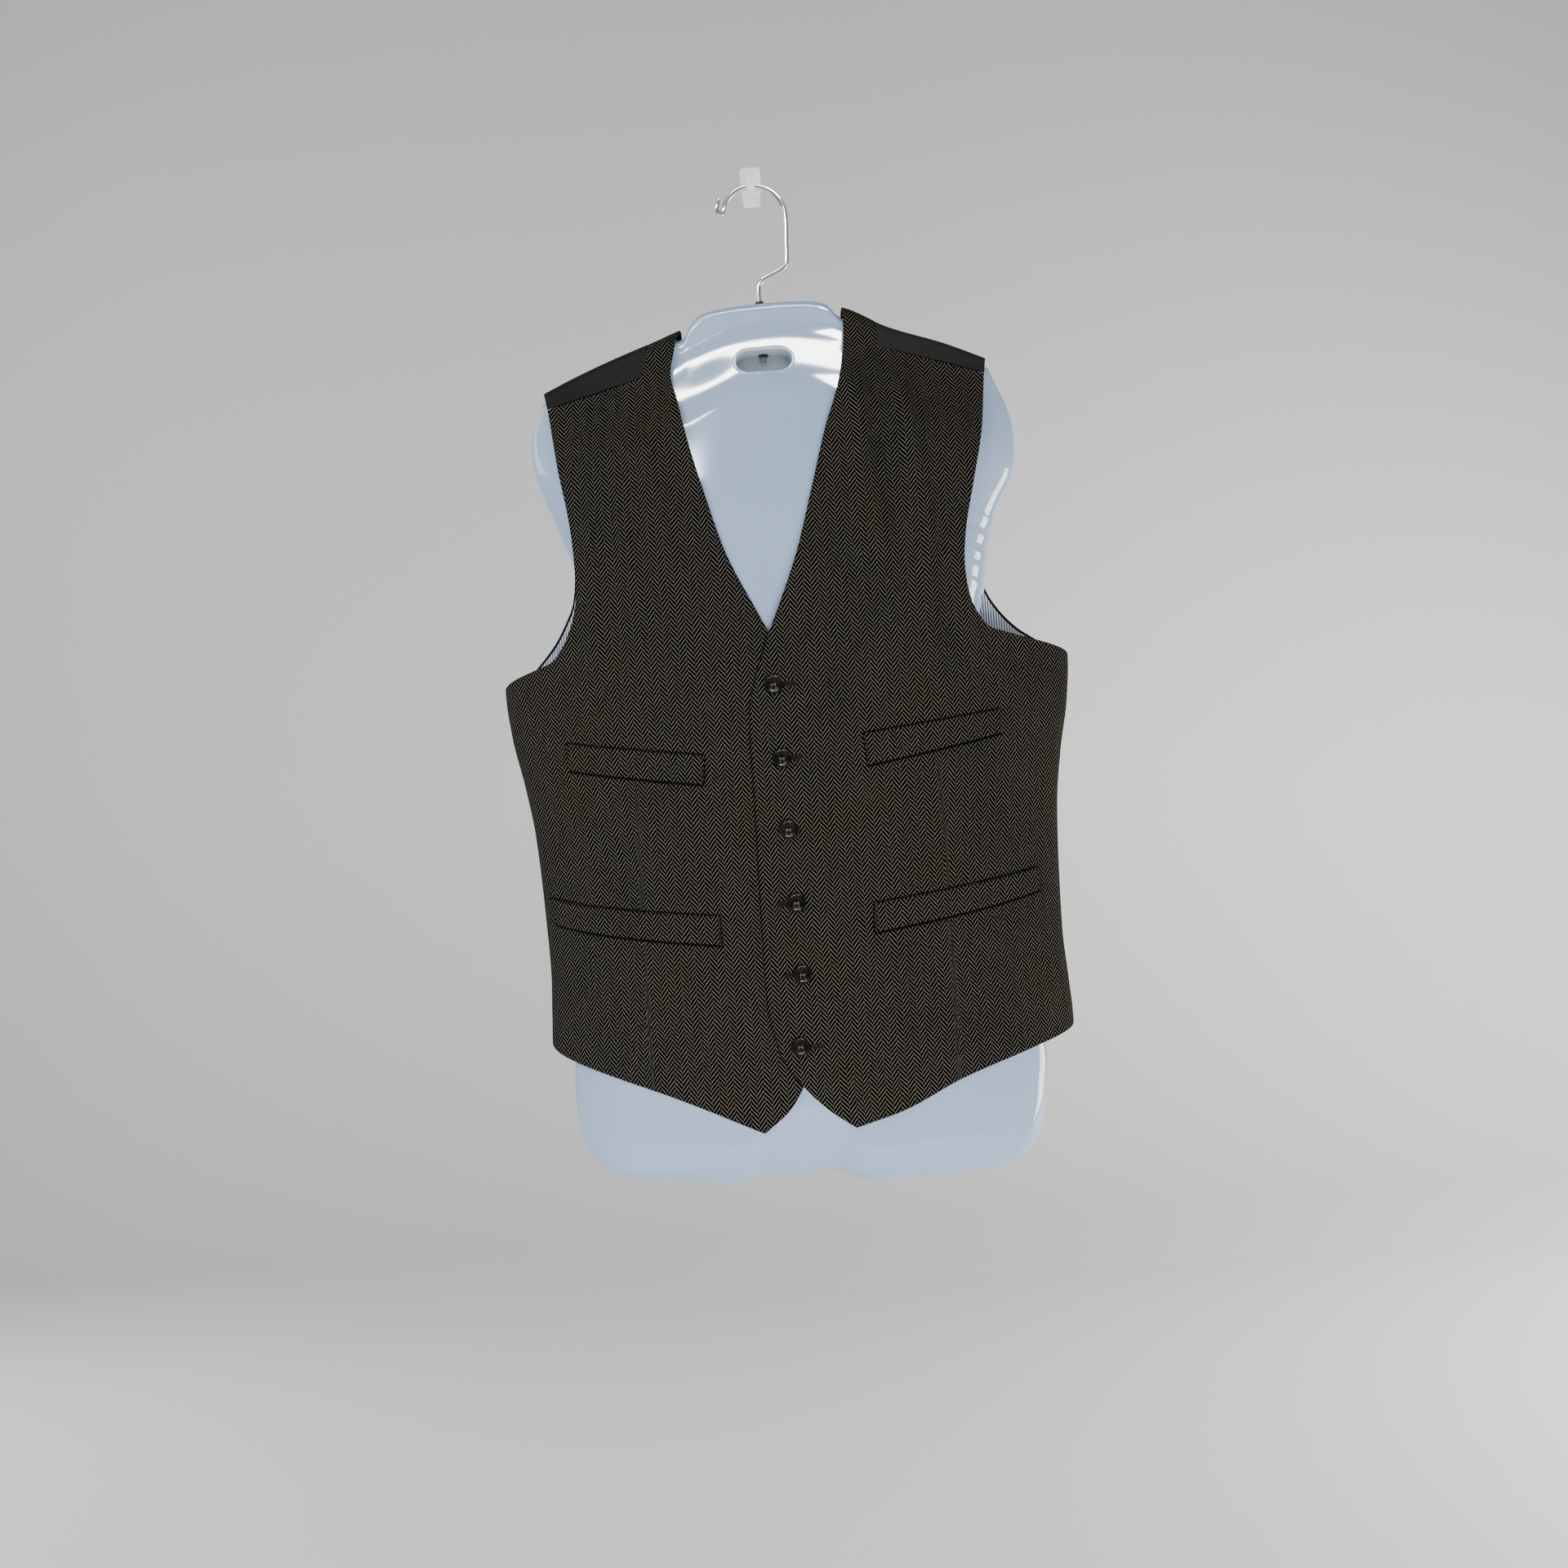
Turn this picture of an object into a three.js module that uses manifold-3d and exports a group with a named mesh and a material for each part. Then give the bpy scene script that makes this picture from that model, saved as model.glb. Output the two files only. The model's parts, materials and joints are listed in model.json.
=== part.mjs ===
// A tweed suit waistcoat on a limbless hanging torso form, with the form's wire hook and the wall hook.
// Millimetres, +Z up. The wall is the plane y = 0 and the fronts face -Y. +X is the wearer's left.
// The origin is the centre of the wall hook's back face, where it is stuck to the wall.
import * as THREE from 'three';
import Module from 'manifold-3d';
import { mergeVertices } from 'three/addons/utils/BufferGeometryUtils.js';

const wasm = await Module();
wasm.setup();

// Walls and gaps
const TWEED_WALL = 2.2;
const BACK_WALL = 1.2;
const LINING_WALL = 1.0;
const LINING_LIFT = 0.4;
const WELT_WALL = 1.8;
const WELT_LIFT = 0.5;
const GAP = 0.3;

// The worn shape: a shallow D section, flat at the back, with a fold down each side and over the shoulders
const BACK_Y = -1.5;
const SHOULDER_RADIUS = 13;
const FOLD_ROUNDNESS = 60;
const CROWN_WIDTH_POWER = 2.4;
const CROWN_DEPTH_POWER = 1.25;
const CROWN_REACH = 90;
const SEAM_ANGLE = 1.85;
const DOMAIN_SCALE = 200;
const WIDTH_FIXED_Z = -100;

const ringColumns = ['z', 'halfWidth', 'foldHalf', 'crown'];
const rings = [
  [-850, 214, 6, 60],
  [-720, 219.5, 6, 60],
  [-690, 218, 6, 60],
  [-650, 216, 6, 59],
  [-600, 217, 6, 58],
  [-540, 220, 6, 58],
  [-497, 226, 6, 60],
  [-455, 234, 6, 62],
  [-420, 237, 6.5, 62],
  [-390, 237, 7.5, 60],
  [-340, 237, 10, 54],
  [-290, 237, 12, 46],
  [-240, 237, 13, 38],
  [-190, 237, 13, 30],
  [-100, 237, 13, 22],
];

// The top of the cloth over the shoulders, from the wearer's right to the left
const ridgeColumns = ['x', 'z'];
const ridgeLine = [
  [-205, -180],
  [-190, -172.5],
  [-155, -157],
  [-125, -145.5],
  [-92, -134],
  [-67, -125],
  [0, -104],
  [68, -116],
  [105, -135],
  [151, -152],
  [187, -168.3],
  [205, -177],
];

// A smooth curve through one column of a table, with no overshoot between its rows
function columnCurve(table, columns, key, name) {
  const keyIndex = columns.indexOf(key);
  const valueIndex = columns.indexOf(name);
  const at = table.map((row) => row[keyIndex]);
  const value = table.map((row) => row[valueIndex]);
  const last = at.length - 1;
  const rise = [];
  for (let i = 0; i < last; i += 1) {
    rise.push((value[i + 1] - value[i]) / (at[i + 1] - at[i]));
  }
  const slope = [rise[0]];
  for (let i = 1; i < last; i += 1) {
    const before = at[i] - at[i - 1];
    const after = at[i + 1] - at[i];
    const flat = rise[i - 1] * rise[i] <= 0;
    const left = 2 * after + before;
    const right = after + 2 * before;
    slope.push(flat ? 0 : (left + right) / (left / rise[i - 1] + right / rise[i]));
  }
  slope.push(rise[last - 1]);
  return (place) => {
    const x = Math.min(Math.max(place, at[0]), at[last]);
    let i = 0;
    while (i < last - 1 && x > at[i + 1]) {
      i += 1;
    }
    const span = at[i + 1] - at[i];
    const t = (x - at[i]) / span;
    const ease = t * t * (3 - 2 * t);
    const leave = t * (1 - t) * (1 - t) * span * slope[i];
    const arrive = t * t * (t - 1) * span * slope[i + 1];
    return (1 - ease) * value[i] + ease * value[i + 1] + leave + arrive;
  };
}

const halfWidthAt = columnCurve(rings, ringColumns, 'z', 'halfWidth');
const foldHalfAt = columnCurve(rings, ringColumns, 'z', 'foldHalf');
const crownAt = columnCurve(rings, ringColumns, 'z', 'crown');
const ridgeAt = columnCurve(ridgeLine, ridgeColumns, 'x', 'z');

function smoothStep(from, to, value) {
  const t = Math.min(Math.max((value - from) / (to - from), 0), 1);
  return t * t * (3 - 2 * t);
}

// Depth of the cloth's outer face at x and z: face 1 is the front sheet and -1 the back one,
// and over is 1 well below the shoulder fold and 0 at its top
function clothY(x, z, face, over) {
  const u = Math.min(Math.abs(x) / halfWidthAt(z), 1);
  const fold = foldHalfAt(z);
  const side = Math.sqrt(1 - u ** FOLD_ROUNDNESS);
  const crownShape = (1 - u ** CROWN_WIDTH_POWER) ** (1 / CROWN_DEPTH_POWER);
  const reach = smoothStep(0, CROWN_REACH, ridgeAt(x) - z);
  const crown = face > 0 ? crownAt(z) * crownShape * reach : 0;
  return BACK_Y - fold - face * fold * side * over - crown;
}

// A place on a sheet: a is the angle round the section from its middle, b the height, which runs on
// over the shoulder fold as cloth does
function sheetPoint(face, a, b) {
  const height = Math.min(b, WIDTH_FIXED_Z);
  const x = halfWidthAt(height) * Math.sin(a);
  const foldStart = ridgeAt(x) - SHOULDER_RADIUS;
  const turn = Math.max(b - foldStart, 0) / SHOULDER_RADIUS;
  const turned = Math.abs(a) > Math.PI / 2 ? -face : face;
  if (turn <= 0) {
    return new THREE.Vector3(x, clothY(x, b, turned, 1), b);
  }
  if (turn < Math.PI) {
    const z = foldStart + SHOULDER_RADIUS * Math.sin(turn);
    const over = Math.cos(turn);
    const seen = over >= 0 ? face : -face;
    return new THREE.Vector3(x, clothY(x, z, seen, Math.abs(over)), z);
  }
  const down = foldStart - (turn - Math.PI) * SHOULDER_RADIUS;
  return new THREE.Vector3(x, clothY(x, down, -face, 1), down);
}

const STEP = 0.02;
function sheetNormal(face, a, b) {
  const across = sheetPoint(face, a + STEP / 20, b).sub(sheetPoint(face, a - STEP / 20, b));
  const up = sheetPoint(face, a, b + STEP * 5).sub(sheetPoint(face, a, b - STEP * 5));
  return across.cross(up).normalize().multiplyScalar(face);
}

// Outline points, each as the angle and height of sheetPoint
function onSheet(x, z) {
  return [Math.asin(x / halfWidthAt(z)), z];
}

function atRidge(x, past) {
  const top = ridgeAt(x) + SHOULDER_RADIUS * (Math.PI / 2 - 1) + past;
  return [Math.asin(x / halfWidthAt(WIDTH_FIXED_Z)), top];
}

// One smooth stretch of an outline, run at even speed
function stretch(points) {
  const places = points.map(([a, b]) => new THREE.Vector3(a * DOMAIN_SCALE, b, 0));
  const curve = new THREE.CatmullRomCurve3(places, false, 'centripetal');
  curve.arcLengthDivisions = 400;
  return (t) => {
    const place = curve.getPointAt(Math.min(Math.max(t, 0), 1));
    return [place.x / DOMAIN_SCALE, place.y];
  };
}

// An outline edge of several stretches, each with the share of the edge where it ends
function edge(stretches) {
  const parts = stretches.map(({ to, points }) => ({ to, curve: stretch(points) }));
  return (t) => {
    let from = 0;
    for (const part of parts) {
      if (t <= part.to || part === parts[parts.length - 1]) {
        return part.curve((t - from) / (part.to - from));
      }
      from = part.to;
    }
    return parts[0].curve(0);
  };
}

// A four-edged patch in sheet coordinates
function patch(bottom, top, left, right) {
  const corners = [bottom(0), bottom(1), top(0), top(1)];
  return (s, t) => [0, 1].map((k) => {
    const along = (1 - t) * bottom(s)[k] + t * top(s)[k];
    const upward = (1 - s) * left(t)[k] + s * right(t)[k];
    const lower = (1 - s) * corners[0][k] + s * corners[1][k];
    const upper = (1 - s) * corners[2][k] + s * corners[3][k];
    return along + upward - (1 - t) * lower - t * upper;
  });
}

// A closed wall between two grids of points, the first one its outer face
function wallBetween(outer, inner, mirrored) {
  const rows = outer.length;
  const columns = outer[0].length;
  const positions = [];
  for (const grid of [outer, inner]) {
    for (const row of grid) {
      for (const point of row) {
        positions.push(point.x, point.y, point.z);
      }
    }
  }
  const innerStart = rows * columns;
  const triangles = [];
  const add = (p, q, r) => triangles.push(...(mirrored ? [p, r, q] : [p, q, r]));
  const quad = (p, q, r, s) => {
    add(p, q, r);
    add(p, r, s);
  };
  for (let j = 0; j < rows - 1; j += 1) {
    for (let i = 0; i < columns - 1; i += 1) {
      const p = j * columns + i;
      quad(p, p + 1, p + columns + 1, p + columns);
      const q = innerStart + p;
      quad(q, q + columns, q + columns + 1, q + 1);
    }
  }
  const rim = [];
  for (let i = 0; i < columns - 1; i += 1) {
    rim.push([i, i + 1]);
  }
  for (let j = 0; j < rows - 1; j += 1) {
    rim.push([j * columns + columns - 1, (j + 1) * columns + columns - 1]);
  }
  for (let i = columns - 1; i > 0; i -= 1) {
    rim.push([(rows - 1) * columns + i, (rows - 1) * columns + i - 1]);
  }
  for (let j = rows - 1; j > 0; j -= 1) {
    rim.push([j * columns, (j - 1) * columns]);
  }
  for (const [p, q] of rim) {
    quad(p, innerStart + p, innerStart + q, q);
  }
  const geometry = new THREE.BufferGeometry();
  geometry.setAttribute('position', new THREE.Float32BufferAttribute(positions, 3));
  geometry.setIndex(triangles);
  return geometry;
}

function evenShares(count) {
  return Array.from({ length: count + 1 }, (_, i) => i / count);
}

// A cloth panel: a wall whose outer face lies lift outside the worn shape
function clothPanel({ face, domain, across, up, wall, lift }) {
  const mirrored = domain(1, 0)[0] < domain(0, 0)[0];
  const outer = [];
  const inner = [];
  for (const t of up) {
    const outerRow = [];
    const innerRow = [];
    for (const s of across) {
      const [a, b] = domain(s, t);
      const point = sheetPoint(face, a, b);
      const normal = sheetNormal(face, a, b);
      const raised = lift(point.x);
      outerRow.push(point.clone().addScaledVector(normal, raised));
      innerRow.push(point.clone().addScaledVector(normal, raised - wall));
    }
    outer.push(outerRow);
    inner.push(innerRow);
  }
  return wallBetween(outer, inner, mirrored !== face < 0);
}

// Left front's outline: hem point, cut-away, front edge and V, then side seam, armhole and shoulder
const NECK_END = 0.2;
const SIDE_SEAM_MIDDLE_Z = -560;
const leftFront = {
  hem: [onSheet(29, -788.5), onSheet(68.5, -778.4), onSheet(119, -757.5), onSheet(172.4, -742.7),
    onSheet(203, -735), [Math.PI / 2, -728], [SEAM_ANGLE, -727]],
  inner: [
    { to: 0.1, points: [onSheet(29, -788.5), onSheet(9.1, -773.4), onSheet(-11, -752.2),
      onSheet(-26.5, -728)] },
    { to: 0.55, points: [onSheet(-26.5, -728), onSheet(-34, -690), onSheet(-34.3, -601),
      onSheet(-33, -535.5), onSheet(-32.6, -480), onSheet(-30.8, -443.5), onSheet(-14.8, -395.5)] },
    { to: 1, points: [onSheet(-14.8, -395.5), onSheet(13.6, -328.8), onSheet(29.9, -276.7),
      onSheet(45.8, -223.6), onSheet(55.9, -196.6), onSheet(63.9, -167), onSheet(67.5, -140),
      atRidge(68.1, -NECK_END)] },
  ],
  outer: [
    { to: 0.5, points: [[SEAM_ANGLE, -727], [SEAM_ANGLE, SIDE_SEAM_MIDDLE_Z], [SEAM_ANGLE, -424]] },
    { to: 0.82, points: [[SEAM_ANGLE, -424], [Math.PI / 2, -420.5], onSheet(207, -415.5),
      onSheet(173.6, -400.4), onSheet(156, -379), onSheet(149.7, -349.9), onSheet(153.5, -315),
      onSheet(163, -276),
      onSheet(174.4, -229.1), onSheet(181.4, -183)] },
    { to: 0.93, points: [onSheet(181.4, -183), onSheet(138.1, -168.8), onSheet(94.9, -155.9)] },
    { to: 1, points: [onSheet(94.9, -155.9), onSheet(94.5, -147), atRidge(94.4, -NECK_END)] },
  ],
  neckTop: [atRidge(68.1, -NECK_END), atRidge(94.4, -NECK_END)],
};

// Right front's outline, whose inner edge lies under the left front
const rightFront = {
  hem: [onSheet(-44.4, -788.6), onSheet(-90.3, -767.3), onSheet(-124.6, -753.1), onSheet(-163.4, -739.4),
    onSheet(-199, -726.7), [-Math.PI / 2, -714], [-SEAM_ANGLE, -713]],
  inner: [
    { to: 0.1, points: [onSheet(-44.4, -788.6), onSheet(-22.8, -771.1), onSheet(-9, -750),
      onSheet(2, -728)] },
    { to: 0.55, points: [onSheet(2, -728), onSheet(6, -666), onSheet(6, -601), onSheet(5, -535),
      onSheet(7, -470), onSheet(7, -440), onSheet(-9, -395.5)] },
    { to: 1, points: [onSheet(-9, -395.5), onSheet(-21.4, -368.9), onSheet(-41.1, -324.6),
      onSheet(-56.3, -270.1), onSheet(-66.2, -228.6), onSheet(-73, -192), onSheet(-77.8, -166),
      onSheet(-74, -146), atRidge(-67.7, -NECK_END)] },
  ],
  outer: [
    { to: 0.5, points: [[-SEAM_ANGLE, -713], [-SEAM_ANGLE, SIDE_SEAM_MIDDLE_Z], [-SEAM_ANGLE, -421]] },
    { to: 0.82, points: [[-SEAM_ANGLE, -421], [-Math.PI / 2, -417.5], onSheet(-214.8, -412.6),
      onSheet(-184.5, -390.4), onSheet(-169, -360), onSheet(-165.9, -330), onSheet(-167.9, -285.8),
      onSheet(-175.5, -235), onSheet(-181.8, -187)] },
    { to: 0.93, points: [onSheet(-181.8, -187), onSheet(-141.5, -177.7), onSheet(-102, -167.6)] },
    { to: 1, points: [onSheet(-102, -167.6), onSheet(-98.5, -154), atRidge(-95, -NECK_END)] },
  ],
  neckTop: [atRidge(-67.7, -NECK_END), atRidge(-95, -NECK_END)],
};

function frontDomain(outline) {
  return patch(stretch(outline.hem), stretch(outline.neckTop), edge(outline.inner), edge(outline.outer));
}

const frontAcross = [0, 0.06, 0.12, 0.19, 0.26, 0.33, 0.4, 0.47, 0.54, 0.61, 0.68, 0.74, 0.79,
  0.83, 0.87, 0.91, 0.955, 1];
const frontUp = [0, 0.05, 0.1, 0.16, 0.22, 0.28, 0.34, 0.4, 0.45, 0.5, 0.53, 0.56, 0.59, 0.62,
  0.65, 0.68, 0.71, 0.74, 0.77, 0.8, 0.82, 0.85, 0.89, 0.93, 0.955, 0.97, 0.985, 1];

// The left front laps over the right one, and comes back to the body away from the front edge
const LAP_LIFT = TWEED_WALL + GAP + 0.15;
const LAP_FULL_X = 14;
const LAP_END_X = 52;
function lapLift(x) {
  return LAP_LIFT * (1 - smoothStep(LAP_FULL_X, LAP_END_X, x));
}

// Back halves, with the neck bands that the front's extensions run on into
const neckSeams = {
  left: [[0, -181], [40, -177], [70, -165], [87, -150]],
  right: [[0, -181], [-40, -177.5], [-70, -168], [-88, -156]],
};
const neckTops = {
  left: [[0, -157], [25, -156], [48, -152], [64, -143]],
  right: [[0, -157], [-25, -156.5], [-48, -154], [-64.5, -148]],
};
const backs = {
  left: {
    side: 1,
    hemZ: -727,
    underarmZ: -416.5,
    neckX: 94.4,
    bandX: 68.1,
    armhole: [onSheet(214, -405), onSheet(196.6, -392), onSheet(181.4, -374.4), onSheet(171.6, -354.7),
      onSheet(168.5, -325), onSheet(171, -280), onSheet(177, -230), atRidge(185.5, 0)],
  },
  right: {
    side: -1,
    hemZ: -713,
    underarmZ: -413.5,
    neckX: -95,
    bandX: -67.7,
    armhole: [onSheet(-212, -400), onSheet(-193.6, -379.1), onSheet(-181.8, -359.2),
      onSheet(-175.9, -345.8), onSheet(-172, -315), onSheet(-173, -270), onSheet(-178, -225),
      atRidge(-186, 0)],
  },
};
const CENTRE_X = GAP / 2;
const SEAM_CLEAR = 0.45;
const SIDE_SEAM_CLEAR = 1.2;
const SEAM_LEAN = halfWidthAt(SIDE_SEAM_MIDDLE_Z) * Math.cos(SEAM_ANGLE);
const BACK_SEAM_ANGLE = Math.PI - SEAM_ANGLE + SIDE_SEAM_CLEAR / SEAM_LEAN;
const HEM_CENTRE_Z = -722;
const HEM_MIDDLE_X = 110;
const SEAM_SAMPLES = 8;
const NECK_SEAM_CLEAR = 0.5;

// The same place reached over the shoulder fold from the other sheet
function fromOtherSheet([a, b]) {
  const x = halfWidthAt(WIDTH_FIXED_Z) * Math.sin(a);
  return [a, 2 * (ridgeAt(x) - SHOULDER_RADIUS) + Math.PI * SHOULDER_RADIUS - b];
}

// Points along a stretch of the front, from its end back to its start, moved clear of it
function alongFront(points, moveX, moveUp) {
  const curve = stretch(points);
  return evenShares(SEAM_SAMPLES).map((t) => {
    const [a, b] = curve(1 - t);
    return fromOtherSheet([a + moveX / halfWidthAt(WIDTH_FIXED_Z), b + moveUp]);
  });
}

function neckSeamPoints(which, back, clear) {
  const points = neckSeams[which].map(([x, z]) => onSheet(x + back.side * CENTRE_X, z - clear));
  const neckEdge = atRidge(back.neckX + back.side * clear, 0);
  return [...points, neckEdge];
}

function backDomain(which) {
  const back = backs[which];
  const front = which === 'left' ? leftFront : rightFront;
  const seamA = back.side * BACK_SEAM_ANGLE;
  const centre = back.side * CENTRE_X;
  const neckCorner = onSheet(centre, neckSeams[which][0][1] - NECK_SEAM_CLEAR);
  const shoulder = alongFront(front.outer[2].points, 0, SEAM_CLEAR);
  const extension = alongFront(front.outer[3].points, back.side * SEAM_CLEAR, 0);
  const innerEnd = [extension[SEAM_SAMPLES][0], shoulder[0][1]];
  const outerEnd = shoulder[SEAM_SAMPLES];
  extension[SEAM_SAMPLES] = innerEnd;
  shoulder[0] = innerEnd;
  const neckEdge = neckSeamPoints(which, back, NECK_SEAM_CLEAR);
  neckEdge[neckEdge.length - 1] = extension[0];
  const hemMiddle = onSheet(back.side * HEM_MIDDLE_X, (HEM_CENTRE_Z + back.hemZ) / 2);
  const bottom = stretch([onSheet(centre, HEM_CENTRE_Z), hemMiddle, [seamA, back.hemZ]]);
  const inner = edge([
    { to: 0.5, points: [onSheet(centre, HEM_CENTRE_Z), onSheet(centre, -420)] },
    { to: NECK_FROM, points: [onSheet(centre, -420), neckCorner] },
    { to: NECK_TO, points: neckEdge },
    { to: 1, points: extension },
  ]);
  const outer = edge([
    { to: 0.5, points: [[seamA, back.hemZ], [seamA, SIDE_SEAM_MIDDLE_Z], [seamA, back.underarmZ]] },
    { to: 0.9, points: [[seamA, back.underarmZ], ...back.armhole] },
    { to: 1, points: [back.armhole[back.armhole.length - 1], outerEnd] },
  ]);
  return patch(bottom, stretch(shoulder), inner, outer);
}

const backAcross = [0, 0.12, 0.25, 0.38, 0.51, 0.64, 0.76, 0.86, 0.94, 1];
const NECK_FROM = 0.68;
const NECK_TO = 0.9;
const neckShares = [0, 0.2, 0.38, 0.55, 0.7, 0.84, 0.93, 1];
const backUp = [0, 0.1, 0.2, 0.28, 0.35, 0.42, 0.5, 0.55, 0.6, 0.64,
  ...neckShares.map((t) => NECK_FROM + (NECK_TO - NECK_FROM) * t), 0.925, 0.95, 0.975, 1];

function bandDomain(which) {
  const back = backs[which];
  const centre = back.side * CENTRE_X;
  const outerPoints = neckSeamPoints(which, back, 0);
  outerPoints[outerPoints.length - 1] = atRidge(back.neckX, -NECK_END);
  const innerPoints = neckTops[which].map(([x, z]) => onSheet(x + centre, z));
  innerPoints.push(atRidge(back.bandX, -NECK_END));
  const ends = [onSheet(centre, neckSeams[which][0][1]), onSheet(centre, neckTops[which][0][1])];
  return patch(stretch(outerPoints), stretch(innerPoints), stretch(ends),
    stretch([atRidge(back.neckX, -NECK_END), atRidge(back.bandX, -NECK_END)]));
}

// The striped lining inside each back half, its edge just inside the armhole
const LINING_INSET = 2.6;
const LINING_HEM_RISE = 14;
const LINING_TOP_Z = -215;
const LINING_TOP_X = 176;
const LINING_SIDE_STEP = 0.05;
const LINING_INSET_ANGLE = LINING_INSET * 0.6 / DOMAIN_SCALE;
function liningDomain(which) {
  const back = backs[which];
  const seamA = back.side * (BACK_SEAM_ANGLE - LINING_SIDE_STEP);
  const centre = back.side * CENTRE_X;
  const hemZ = back.hemZ + LINING_HEM_RISE;
  const topX = back.side * LINING_TOP_X;
  const inset = ([a, b]) => [a - back.side * LINING_INSET_ANGLE, b - LINING_INSET];
  const armhole = back.armhole.slice(0, 6).map(inset);
  return patch(
    stretch([onSheet(centre, hemZ), [seamA, hemZ]]),
    stretch([onSheet(centre, LINING_TOP_Z), onSheet(topX, LINING_TOP_Z)]),
    edge([
      { to: 0.5, points: [onSheet(centre, hemZ), onSheet(centre, -425)] },
      { to: 1, points: [onSheet(centre, -425), onSheet(centre, LINING_TOP_Z)] },
    ]),
    edge([
      { to: 0.5, points: [[seamA, hemZ], [seamA, back.underarmZ - LINING_INSET]] },
      { to: 1, points: [[seamA, back.underarmZ - LINING_INSET], ...armhole, onSheet(topX, LINING_TOP_Z)] },
    ]),
  );
}

// Welt pockets: the corners of each welt on its front, top then bottom, centre side then side seam side
const weltColumns = ['name', 'topIn', 'topOut', 'bottomIn', 'bottomOut'];
const welts = [
  ['welt_upper_right', [-71.1, -482.7], [-183.7, -464.5], [-72.9, -505.5], [-183.5, -486]],
  ['welt_lower_right', [-67.7, -612.3], [-208.8, -591.1], [-68, -635.3], [-205.9, -612.3]],
  ['welt_upper_left', [57.2, -474.5], [170.7, -462], [59.4, -499.5], [170.9, -480.7]],
  ['welt_lower_left', [55.9, -610.8], [195, -593.6], [54.9, -633.7], [196.5, -612.1]],
];

function weltDomain(row) {
  const corner = (name) => onSheet(...row[weltColumns.indexOf(name)]);
  return patch(
    stretch([corner('bottomIn'), corner('bottomOut')]),
    stretch([corner('topIn'), corner('topOut')]),
    stretch([corner('bottomIn'), corner('topIn')]),
    stretch([corner('bottomOut'), corner('topOut')]),
  );
}

// Buttons: the middle of each on the left front
const BUTTON_RADIUS = 7.5;
const BUTTON_RIM = 3.2;
const BUTTON_BEVEL = 1.2;
const BUTTON_DISH = 2;
const BUTTON_HOLE_RADIUS = 0.85;
const BUTTON_HOLE_OFFSET = 1.5;
const BUTTON_LIFT = 0.45;
const buttonPlaces = [
  [-11.5, -430.6],
  [-9, -489.6],
  [-8, -547],
  [-5.8, -605.8],
  [-5.1, -663.1],
  [-10.9, -720.2],
];

function solidOf(geometry) {
  const bare = geometry.index ? geometry.clone() : geometry;
  bare.deleteAttribute('normal');
  bare.deleteAttribute('uv');
  const merged = mergeVertices(bare, 1e-4);
  return new wasm.Manifold(new wasm.Mesh({
    numProp: 3,
    vertProperties: new Float32Array(merged.attributes.position.array),
    triVerts: new Uint32Array(merged.index.array),
  }));
}

function geometryOf(solid) {
  const mesh = solid.getMesh();
  const geometry = new THREE.BufferGeometry();
  geometry.setAttribute('position', new THREE.BufferAttribute(mesh.vertProperties, 3));
  geometry.setIndex(new THREE.BufferAttribute(mesh.triVerts, 1));
  return geometry;
}

function buttonGeometry() {
  const profile = [
    [0, 0],
    [BUTTON_RADIUS - BUTTON_BEVEL, 0],
    [BUTTON_RADIUS, BUTTON_BEVEL],
    [BUTTON_RADIUS, 2.4],
    [BUTTON_RADIUS - 0.8, BUTTON_RIM],
    [BUTTON_RADIUS - 2, BUTTON_RIM - 0.2],
    [BUTTON_RADIUS - 3, BUTTON_DISH],
    [0, BUTTON_DISH],
  ].map(([r, h]) => new THREE.Vector2(r, h));
  let button = solidOf(new THREE.LatheGeometry(profile, 18));
  for (const [i, j] of [[-1, -1], [1, -1], [1, 1], [-1, 1]]) {
    const drill = new THREE.CylinderGeometry(BUTTON_HOLE_RADIUS, BUTTON_HOLE_RADIUS, 4 * BUTTON_RIM, 6);
    drill.translate(i * BUTTON_HOLE_OFFSET, 0, j * BUTTON_HOLE_OFFSET);
    button = button.subtract(solidOf(drill));
  }
  return geometryOf(button);
}

// The torso form: an outline from the front, with the cloth's shape inset for its face
const FORM_REAR_Y = -4.5;
const FORM_EDGE_HALF = 10;
const FORM_INSET = TWEED_WALL + 1.1;
const FORM_ACROSS_CROWD = 0.72;
const FORM_UP_CROWD = 0.7;
const FORM_SLOPE_INSET = 2.6;
const FORM_SIDE_ROUND = 24;
const FORM_TOP_ROUND = 10;
const FORM_BOTTOM_ROUND = 16;
const FORM_FACE_ROUND = 44;
const formOutline = {
  bottom: [[-186, -817], [-160, -829], [-110, -834], [-76, -838.5], [-57, -836.5], [-43, -832],
    [-16, -836], [11, -834], [26, -841], [44, -845], [110, -843.5], [155, -840.5], [181, -824]],
  top: [[-187, -178.5], [-155, -161.5], [-125, -150], [-92, -138.5], [-74, -134], [-65, -132.5],
    [-58, -120], [-48, -113], [-3, -108], [46, -109.5], [56, -113], [63, -121.5], [72, -128], [84, -132],
    [105, -139.5], [151, -156.5], [187, -175.5]],
  left: [[-186, -817], [-197, -794], [-201.5, -765], [-200, -730], [-185, -680], [-165, -600], [-155, -520],
    [-156, -440], [-160, -380], [-166, -335], [-173, -312], [-184, -280], [-197, -240], [-198, -210],
    [-187, -178.5]],
  right: [[181, -824], [188, -806], [193, -775], [194, -741], [180, -680], [163, -600], [155, -520],
    [156, -450], [160, -400], [169.5, -362], [178, -318], [186, -294], [201, -263], [203.5, -224],
    [187, -175.5]],
};

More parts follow.
